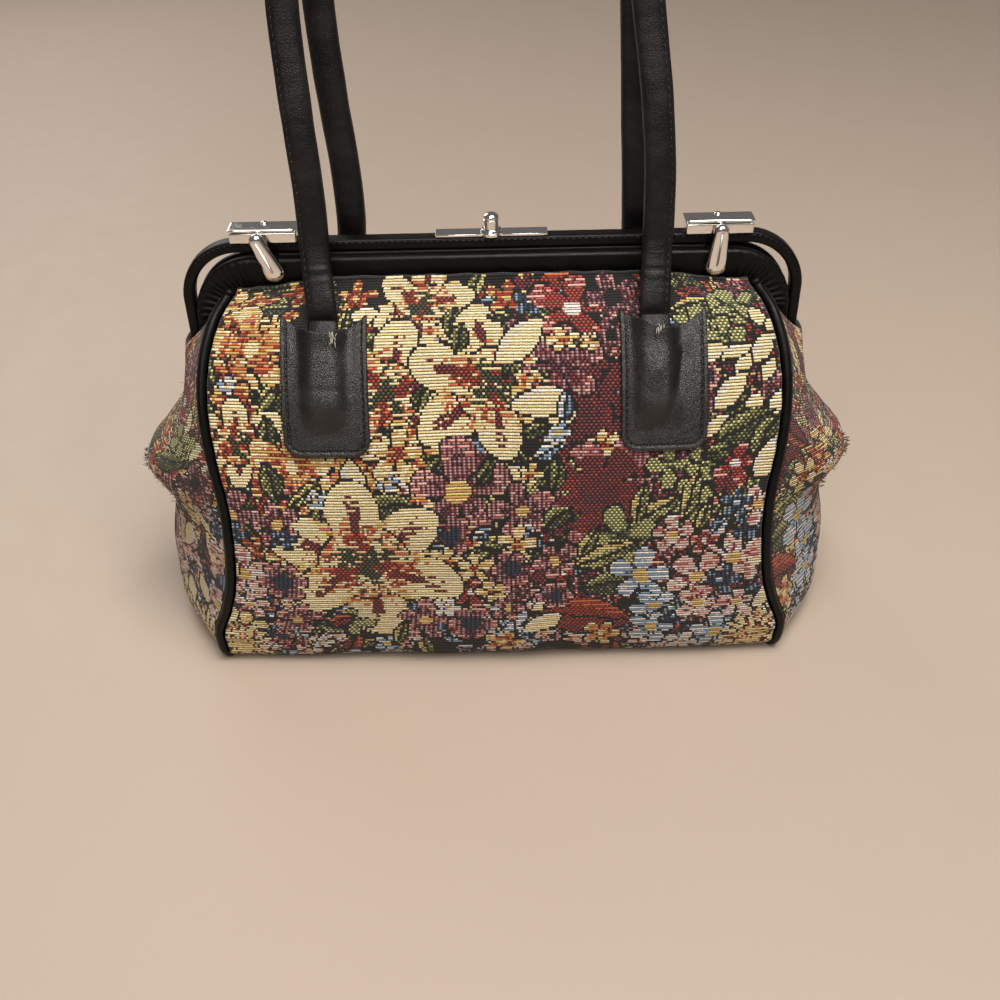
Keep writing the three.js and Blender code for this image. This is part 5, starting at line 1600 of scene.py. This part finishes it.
    def tab_relief(self, across: Array, down: Array, side: float) -> Array:
        """Height of the tab's face: rolled rim, stitch groove, dents over the strap's end and grain.

        Args:
            across: millimetres from the tab's middle.
            down: millimetres down the cloth.
            side: -1 for the left tab and 1 for the right.

        Returns:
            Heights above the plain leather.
        """
        rim = self.edge_distance(across, down)
        roll = 0.55 * np.sqrt(np.clip(1 - ((rim - 1.25) / 1.3) ** 2, 0, 1)) - 0.9 * np.clip(1 - rim / 0.5, 0, 1) ** 2
        groove = -0.5 * np.exp(-(((rim - self.seam_inset) / 0.5) ** 2))
        if side > 0:
            valley = across - 8.0 + (down - 25) * 0.26
            dent = -1.7 * np.exp(-(((across - 7.5) / 5.0) ** 2)) * (1 - smooth_step(14, 30, down))
            reach = smooth_step(14, 24, down) * (1 - smooth_step(44, 58, down))
            dent = dent - 1.5 * np.exp(-((valley / 2.4) ** 2)) * reach
            pad = 1.5 * np.exp(-((np.hypot(across + 5, down - 28) / 5.0) ** 2))
            pad = pad - 1.2 * np.exp(-((np.hypot(across + 5, down - 40) / 4.6) ** 2))
        else:
            dent = -1.5 * np.exp(-(((across - 10.5) / 4.6) ** 2)) * (1 - smooth_step(12, 28, down))
            pad = 0.4 * np.exp(-(((across + 0.5) / 1.1) ** 2)) * np.exp(-(((down - 44) / 9) ** 2))
            pad = pad - 0.45 * np.exp(-(((down - 35 - across * 0.08) / 1.6) ** 2)) * np.exp(-((across / 11) ** 2))
        slack = 0.25 * soft_noise(across + 90 * side, down, 9.0, Seed.TAB) * smooth_step(2.5, 6, rim)
        inside = smooth_step(3, 7, rim)
        return roll + groove + (dent + pad) * inside + slack

    def tab(self, side: float) -> None:
        """A tab: a closed wall over the strap's end, finest along its rim."""
        name = "left" if side < 0 else "right"
        columns, rows = 84, 92
        from_centre = np.sin(np.pi / 2 * np.linspace(-1, 1, columns + 1))[None, :]
        share = np.sin(np.pi / 2 * np.linspace(0, 1, rows + 1))[:, None]
        share = 0.7 * share + 0.3 * np.linspace(0, 1, rows + 1)[:, None]
        across, down = self.tab_outline(from_centre, share)
        across, down = np.broadcast_arrays(across, down)
        centre, strap = self.places(side)
        hollow = self.pocket(centre + across - strap, down)
        relief = self.tab_relief(across, down, side)
        inner = self.form.above_panel(centre + across, down, self.form.seat_gap + hollow)
        outer = self.form.above_panel(centre + across, down, self.form.seat_gap + hollow + self.leather + relief * 0.8)
        piece = closed_sheet(f"handle_tab_leather_{self.face}_{name}", self.placed(outer), self.placed(inner))
        finish_piece(piece, self.finishes.tab_leather, nodes=(f"handle_tab_{self.face}_{name}",))
        self.tab_stitches(side, name)
        self.worn_thread(side, name)

    def tab_stitches(self, side: float, name: str) -> None:
        """Stitches in the groove, down one side, round the end and up the other."""
        inset, corner = self.seam_inset, self.tab_corner - self.seam_inset
        wide, long = self.tab_half_width - inset, self.tab_length - inset
        angle = np.linspace(0, np.pi / 2, 14)
        right = np.stack([np.concatenate([[wide], wide - corner + corner * np.cos(angle)]),
                          np.concatenate([[4.0], long - corner + corner * np.sin(angle)])], axis=-1)
        line = np.concatenate([right * np.array([-1.0, 1.0]), right[::-1]])
        length = lengths_along(line)
        begin = np.arange(1.0, length[-1] - 3.0, 3.1)
        centre, strap = self.places(side)

        def at(where: Array, lift: float) -> Array:
            """Points on the groove at lengths along it, lifted from the leather."""
            across, down = np.interp(where, length, line[:, 0]), np.interp(where, length, line[:, 1])
            hollow = self.pocket(centre + across - strap, down)
            height = self.form.seat_gap + hollow + self.leather + lift
            return self.placed(self.form.above_panel(centre + across, down, height))

        rise = at(begin + 1.1, 0.1) - at(begin + 1.1, -0.15)
        stitches = thread_pieces(f"tab_stitches_{self.face}_{name}", at(begin, -0.3), at(begin + 2.3, -0.3), 0.3, rise)
        finish_piece(stitches, self.finishes.dark_thread)

    def worn_thread(self, side: float, name: str) -> None:
        """Loose ends of pale thread where the seam at the tab's mouth has worn through."""
        random = np.random.default_rng(Seed.WORN_THREAD + int(side) + 10 * self.flip)
        count = 16 if side < 0 else 9
        centre, strap = self.places(side)
        middle = strap - centre + (5.6 if side < 0 else 0.5)
        across = middle + random.normal(0, 0.9, count)
        down = self.tab_dip + random.uniform(-1.0, 0.6 if side > 0 else 2.6, count)
        hollow = self.pocket(centre + across - strap, down) + self.form.seat_gap + self.leather
        start = self.form.above_panel(centre + across, down, hollow + 0.1)
        end = self.form.above_panel(centre + across + random.normal(0, 0.8, count), down + random.uniform(1.4, 3.8, count),
                                    hollow + 0.3)
        lift = unit(self.form.above_panel(centre + across, down, hollow + 1) - start) * 0.5
        threads = thread_pieces(f"worn_thread_{self.face}_{name}", self.placed(start), self.placed(end), 0.2,
                                self.placed(lift))
        finish_piece(threads, self.finishes.pale_thread)

    def build(self) -> None:
        """Strap and both tabs."""
        self.strap()
        self.tab(-1.0)
        self.tab(1.0)


# Chrome


# Soft ends of a bar: share of its length, and how far its section is drawn in there.
CLASP_ENDS = np.array([
    (0, 0.5), (0.004, 0.2), (0.012, 0.06), (0.025, 0), (0.5, 0), (0.975, 0), (0.988, 0.06), (0.996, 0.2), (1, 0.5),
])
PLATE_ENDS = np.array([(0, 0.4), (0.003, 0.15), (0.01, 0), (0.5, 0), (0.99, 0), (0.997, 0.15), (1, 0.4)])


def placed_at(x: float, y: float, z: float) -> Matrix:
    """The transform that moves a form to a place given in millimetres."""
    return Matrix.Translation(Vector((x, y, z)) * MM)


@dataclass
class SideClasp:
    """Clasp box with its cover, rivet and teardrop lever, at one end of the hoop."""

    finishes: Finishes
    side: str
    hoop_top: float
    shift: float
    lean: float
    spread: float = 105.0
    width: float = 31.0
    height: float = 5.0
    front: float = 6.6
    back: float = 4.3
    clearance: float = 0.3
    cover: float = 1.1
    running_gap: float = 1.0
    reach: float = 21.5
    top_radius: float = 3.5
    tip_radius: float = 5.3
    thickness: float = 4.5
    pin_radius: float = 1.4

    @property
    def centre(self) -> float:
        """The clasp's middle along the hoop."""
        return self.spread if self.side == "right" else -self.spread

    def rounded_bar(self, name: str, width: float, low: float, high: float, front: float,
                    back: float) -> bpy.types.Object:
        """A box with soft edges: a squared oval carried along X, drawn in at both ends.

        Args:
            name: the piece's name.
            width: its width along the hoop.
            low: bottom height above the hoop.
            high: top height above the hoop.
            front: distance forwards from mid depth.
            back: distance backwards.

        Returns:
            The box.
        """
        share, inset = CLASP_ENDS[:, 0], CLASP_ENDS[:, 1]
        section = round_section(1.0, 1.0, 36, 0.16)
        x = self.centre + (share - 0.5) * width
        half_y, half_z = (front + back) / 2, (high - low) / 2
        y = (back - front) / 2 + section[None, :, 0] * (half_y - inset[:, None])
        z = (high + low) / 2 + section[None, :, 1] * (half_z - inset[:, None] * half_z / 2)
        rings = np.stack([np.broadcast_to(x[:, None], y.shape), y, z + self.hoop_top], axis=-1)
        return closed_bar(name, rings, 50)

    def box(self) -> None:
        """The clasp's box and its cover with a rolled front edge and a rivet head."""
        base = self.rounded_bar(f"clasp_box_{self.side}", self.width, self.clearance, self.clearance + self.height,
                                self.front, self.back)
        finish_piece(base, self.finishes.chrome, nodes=(f"clasp_base_{self.side}",))
        low = 2 * self.clearance + self.height
        plate = self.rounded_bar("plate", self.width + 1, low, low + self.cover, self.front + 0.1, self.back)
        roll_x = np.linspace(self.centre - self.width / 2, self.centre + self.width / 2, 24)
        path = np.stack([roll_x, 0 * roll_x - self.front + 0.33, 0 * roll_x + self.hoop_top + low + 0.88], axis=-1)
        taper = np.sqrt(np.clip(1 - np.abs(np.linspace(-1, 1, 24)) ** 16, 0.1, 1))[:, None, None]
        roll = closed_bar("roll", rings_along(path, np.array([0.0, 0.0, 1.0]), round_section(0.86, 0.86, 16) * taper))
        angle = np.linspace(0, np.pi / 2, 9)
        profile = np.stack([1.7 * np.cos(angle), 1.0 * np.sin(angle)], axis=-1)
        rivet = turned_form("rivet", np.concatenate([[[0, -0.3], [1.7, -0.3]], profile]))
        rivet.data.transform(placed_at(self.centre, self.back - 1.9, self.hoop_top + low + self.cover))
        cover = join_pieces(f"clasp_lid_{self.side}", [plate, roll, rivet])
        finish_piece(cover, self.finishes.chrome, nodes=(f"clasp_cover_{self.side}",))

    def lever(self) -> None:
        """Teardrop lever.

        Its outline is two circles joined by their tangents, read as a radius for each angle about points
        along the middle line; the face is a dome: height x sqrt(1 - share^2.6) of the outline.
        """
        angle = np.linspace(0, 2 * np.pi, 64, endpoint=False)
        tip_centre = -(self.reach - self.tip_radius)
        tilt = math.asin((self.tip_radius - self.top_radius) / -tip_centre)
        upper = (np.sin(angle) > -math.sin(tilt))
        radius = np.where(upper, self.top_radius, self.tip_radius)
        outline = np.stack([radius * np.cos(angle), np.where(upper, 0, tip_centre) + radius * np.sin(angle)], axis=-1)
        dome = np.linspace(0, 1, 16)
        share = np.cos(dome * np.pi / 2)[:, None, None]
        middle_line = np.stack([0 * angle, np.clip(outline[:, 1], tip_centre, 0)], axis=-1)
        middle_line = middle_line[None] * np.array([1.0, 0.94])
        rings2 = middle_line + (outline[None] - middle_line) * (share ** 0.8)
        height = self.thickness * 0.62 * (1 - share[..., 0] ** 2.6) ** 0.5
        front_y = -0.38 * self.thickness - height + 0 * rings2[..., 0]
        front = np.stack([rings2[..., 0], front_y, rings2[..., 1]], axis=-1)
        back_share = np.array([0.7, 0.9, 0.97, 1.0])[:, None, None]
        back2 = middle_line + (outline[None] - middle_line) * back_share
        back_y = np.array([0.0, -0.03, -0.12, -0.38]) * self.thickness
        back = np.stack([back2[..., 0], back_y[:, None] + 0 * back2[..., 0], back2[..., 1]], axis=-1)
        rings = np.concatenate([back, front[1:]])
        lever = closed_bar("lever_body", rings, 60)
        along = np.linspace(-1.0, self.running_gap - 0.08, 8)
        pin_path = np.stack([0 * along, along, 0 * along], axis=-1)
        pin = closed_bar("lever_pin", rings_along(pin_path, np.array([0.0, 0.0, 1.0]),
                                                  round_section(self.pin_radius, self.pin_radius, 20)), 50)
        joined = join_pieces(f"lever_chrome_{self.side}", [lever, pin])
        turn = Matrix.Rotation(math.radians(self.lean), 4, "Y")
        place = placed_at(self.centre + self.shift, -self.front - self.running_gap,
                          self.hoop_top + self.clearance + self.height / 2)
        joined.data.transform(place @ turn)
        finish_piece(joined, self.finishes.chrome, f"lever_{self.side}", (f"clasp_lever_{self.side}",))

    def build(self) -> None:
        """Box, cover and lever."""
        self.box()
        self.lever()


@dataclass
class Lock:
    """Lock plate with its flared collar, and the domed button in it."""

    finishes: Finishes
    hoop_top: float
    plate_width: float = 52.0
    plate_depth: float = 7.6
    plate_thickness: float = 1.2
    collar_radius: float = 5.2
    collar_height: float = 2.8
    button_radius: float = 3.6
    button_top: float = 10.5
    travel: float = 2.0
    clearance: float = 0.3

    def plate(self) -> None:
        """Plate in two wings beside the collar, and the collar."""
        share, inset = PLATE_ENDS[:, 0], PLATE_ENDS[:, 1]
        section = round_section(1.0, 1.0, 32, 0.2)
        inner, outer = self.button_radius + self.clearance + 0.3, self.plate_width / 2
        x = (share - 0.5) * (outer - inner)
        y = section[None, :, 0] * (self.plate_depth / 2 - inset[:, None])
        z = self.hoop_top + self.clearance + self.plate_thickness / 2
        z = z + section[None, :, 1] * (self.plate_thickness / 2 - inset[:, None] * 0.3)
        wings = [closed_bar("wing", np.stack([np.broadcast_to(x[:, None] + middle, y.shape), y, z], axis=-1), 50)
                 for middle in (-(inner + outer) / 2, (inner + outer) / 2)]
        bore = self.button_radius + self.clearance
        low, high = self.clearance, self.clearance + self.collar_height
        profile = np.array([
            (bore, low), (self.collar_radius, low), (self.collar_radius, low + 1.3), (self.collar_radius * 0.95, low + 1.6),
            (self.collar_radius * 0.9, high - 0.5), (self.collar_radius * 0.88, high - 0.15), (self.collar_radius * 0.84, high),
            (bore + 0.15, high), (bore, high - 0.2),
        ])
        sides = 48
        angle = even_turn(sides)
        radius, height = profile[:, :1], profile[:, 1:] + self.hoop_top + 0 * angle
        points = np.stack([radius * np.cos(angle), radius * np.sin(angle), height], axis=-1)
        faces = grid_faces(len(profile), sides, wrap=True)
        last = (len(profile) - 1) * sides
        faces += [[last + i, last + (i + 1) % sides, (i + 1) % sides, i] for i in range(sides)]
        collar = make_object("collar", points, faces, 40)
        joined = join_pieces("lock_plate_chrome", [*wings, collar])
        finish_piece(joined, self.finishes.chrome, nodes=("lock_plate",))

    def button(self) -> None:
        """The domed button with a fine groove below its dome."""
        bottom = self.travel + self.clearance
        shoulder = self.button_top - self.button_radius * 0.6
        r = self.button_radius
        angle = np.linspace(0, np.pi / 2, 12)
        dome = np.stack([r * np.cos(angle), shoulder + (self.button_top - shoulder) * np.sin(angle)], axis=-1)
        stem = np.array([(0, bottom), (r - 0.3, bottom), (r, bottom + 0.3), (r, shoulder - 0.9), (r - 0.25, shoulder - 0.7),
                         (r - 0.25, shoulder - 0.45), (r, shoulder - 0.25)])
        profile = np.concatenate([stem, dome])
        profile[:, 1] += self.hoop_top
        piece = turned_form("lock_button_chrome", profile)
        finish_piece(piece, self.finishes.chrome, "button", ("lock_button",))

    def build(self) -> None:
        """Plate and button."""
        self.plate()
        self.button()


# Loose threads


@dataclass
class LooseThreads:
    """Frayed ends of weave yarn over the gussets' ears and higher up the gussets."""

    form: BodyForm
    finishes: Finishes

    def fringe(self, name: str, points: Array, outwards: Array, count: int, length: tuple[float, float],
               material: bpy.types.Material, seed: int) -> None:
        """Short ends that stand out of a line of cloth.

        Args:
            name: the piece's name.
            points: the line.
            outwards: the way out of the cloth along it.
            count: how many ends.
            length: shortest and longest.
            material: the yarn.
            seed: for their places.
        """
        random = np.random.default_rng(seed)
        where = random.uniform(0, len(points) - 1, count)
        stations = np.arange(len(points))
        start, out = read_line(points, stations, where), unit(read_line(outwards, stations, where))
        reach = random.uniform(*length, (count, 1))
        stray = random.normal(0, 0.55, (count, 3))
        end = start + unit(out + stray) * reach
        lift = unit(np.cross(end - start, random.normal(0, 1, (count, 3)))) * reach * 0.18
        piece = thread_pieces(name, start - out * 0.6, end, 0.17, lift)
        finish_piece(piece, material)

    def build(self) -> None:
        """All frayed ends."""
        along = np.linspace(0.45, 0.75, 60)
        ear = self.form.gusset_point(np.full(60, 0.42), along)
        top = self.form.gusset_point(np.full(60, 0.3), np.linspace(0.55, 0.97, 60))
        out = np.array([1.0, -0.2, 0.3])
        for side, flip in (("right", False), ("left", True)):
            facing = mirror_points(np.tile(out, (60, 1)), flip, False)
            self.fringe(f"frayed_ear_{side}", mirror_points(ear, flip, False), facing, 70, (1.0, 3.0),
                        self.finishes.dark_thread, Seed.EAR_FRINGE + flip)
            self.fringe(f"frayed_side_{side}", mirror_points(top, flip, False), facing, 40, (0.8, 2.2),
                        self.finishes.pale_thread, Seed.SIDE_FRINGE + flip)


# Studio


class Studio:
    """Floor, soft lights and the camera of the picture."""

    FLOOR_HALF = 6000.0
    FLOOR_COLOR = (0.41, 0.335, 0.275, 1.0)
    ROOM_COLOR = (0.9, 0.86, 0.82, 1.0)
    ROOM_LIGHT = 0.16
    AIM = (0, 0, 0.1)

    def floor(self) -> None:
        """A wide plain pale floor."""
        side = np.linspace(-self.FLOOR_HALF, self.FLOOR_HALF, 9)
        x, y = np.meshgrid(side, side)
        points = np.stack([x, y, 0 * x], axis=-1)
        mesh = bpy.data.meshes.new("floor")
        mesh.from_pydata((points.reshape(-1, 3) * MM).tolist(), [], grid_faces(9, 9))
        floor = bpy.data.objects.new("floor", mesh)
        bpy.context.scene.collection.objects.link(floor)
        material, graph, shader = blank_material("studio_floor")
        shader.inputs["Base Color"].default_value = self.FLOOR_COLOR
        place = graph.object_place()
        rough = graph.range(graph.noise(place, 30.0, 4.0), 0.3, 0.7, 0.5, 0.62)
        graph.feed(shader, "Roughness", rough)
        mesh.materials.append(material)

    def hold(self, name: str, data: bpy.types.ID) -> bpy.types.Object:
        """Puts a light or camera into the scene."""
        holder = bpy.data.objects.new(name, data)
        bpy.context.scene.collection.objects.link(holder)
        return holder

    def light(self, name: str, place: Sequence[float], size: float, power: float, color: Sequence[float]) -> None:
        """A square soft light that faces the bag."""
        lamp = bpy.data.lights.new(name, "AREA")
        lamp.size, lamp.energy, lamp.color = size, power, color
        holder = self.hold(name, lamp)
        holder.location = place
        holder.rotation_euler = (Vector(self.AIM) - Vector(place)).to_track_quat("-Z", "Y").to_euler()

    def lights(self) -> None:
        """A large light above, softer ones in front, beside and behind, a soft sun and a pale room."""
        self.light("overhead", (0.2, -0.35, 1.5), 0.8, 23.0, (1.0, 0.95, 0.88))
        self.light("front_fill", (-0.25, -1.3, 1.25), 0.8, 9.0, (1.0, 0.93, 0.86))
        self.light("side_fill", (1.0, -1.0, 1.4), 0.8, 1.5, (1.0, 0.95, 0.9))
        self.light("back_fill", (-0.9, 1.3, 0.9), 0.9, 7.0, (1.0, 0.96, 0.92))
        sky = bpy.data.lights.new("sky", "SUN")
        sky.energy, sky.angle, sky.color = 0.8, math.radians(50), (1.0, 0.95, 0.9)
        self.hold("sky", sky).rotation_euler = (math.radians(18), math.radians(8), 0)
        world = bpy.data.worlds.new("room")
        world.use_nodes = True
        background = world.node_tree.nodes["Background"]
        background.inputs[0].default_value = self.ROOM_COLOR
        background.inputs[1].default_value = self.ROOM_LIGHT
        bpy.context.scene.world = world

    def camera(self) -> None:
        """The picture's camera: 36 degrees down, turned a little about its own axis."""
        lens = bpy.data.cameras.new("camera")
        lens.lens, lens.sensor_width = 41.4, 36.0
        holder = self.hold("camera", lens)
        holder.location = (0.0014, -0.505, 0.422)
        turn = Matrix.Rotation(math.radians(54.0), 4, "X") @ Matrix.Rotation(math.radians(-1.2), 4, "Z")
        holder.rotation_euler = turn.to_euler()
        bpy.context.scene.camera = holder
        bpy.context.scene.view_settings.view_transform = "Standard"

    def build(self) -> None:
        """Everything round the bag."""
        self.floor()
        self.lights()
        self.camera()


def main() -> None:
    logging.basicConfig(level=logging.INFO, format="%(message)s")
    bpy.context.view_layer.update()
    Studio().build()
    finishes = Finishes()
    form = BodyForm()
    leather = FrameLeather(form, finishes)
    TapestryBody(form, finishes).build()
    Piping(form, finishes).build()
    leather.build()
    Handle(form, finishes, "front", FRONT_HANDLE_ROWS).build()
    Handle(form, finishes, "back", BACK_HANDLE_ROWS).build()
    SideClasp(finishes, "left", leather.hoop_top, -2.4, -22.0).build()
    SideClasp(finishes, "right", leather.hoop_top, 0.2, 4.0).build()
    Lock(finishes, leather.hoop_top).build()
    LooseThreads(form, finishes).build()


if __name__ == "__main__":
    main()
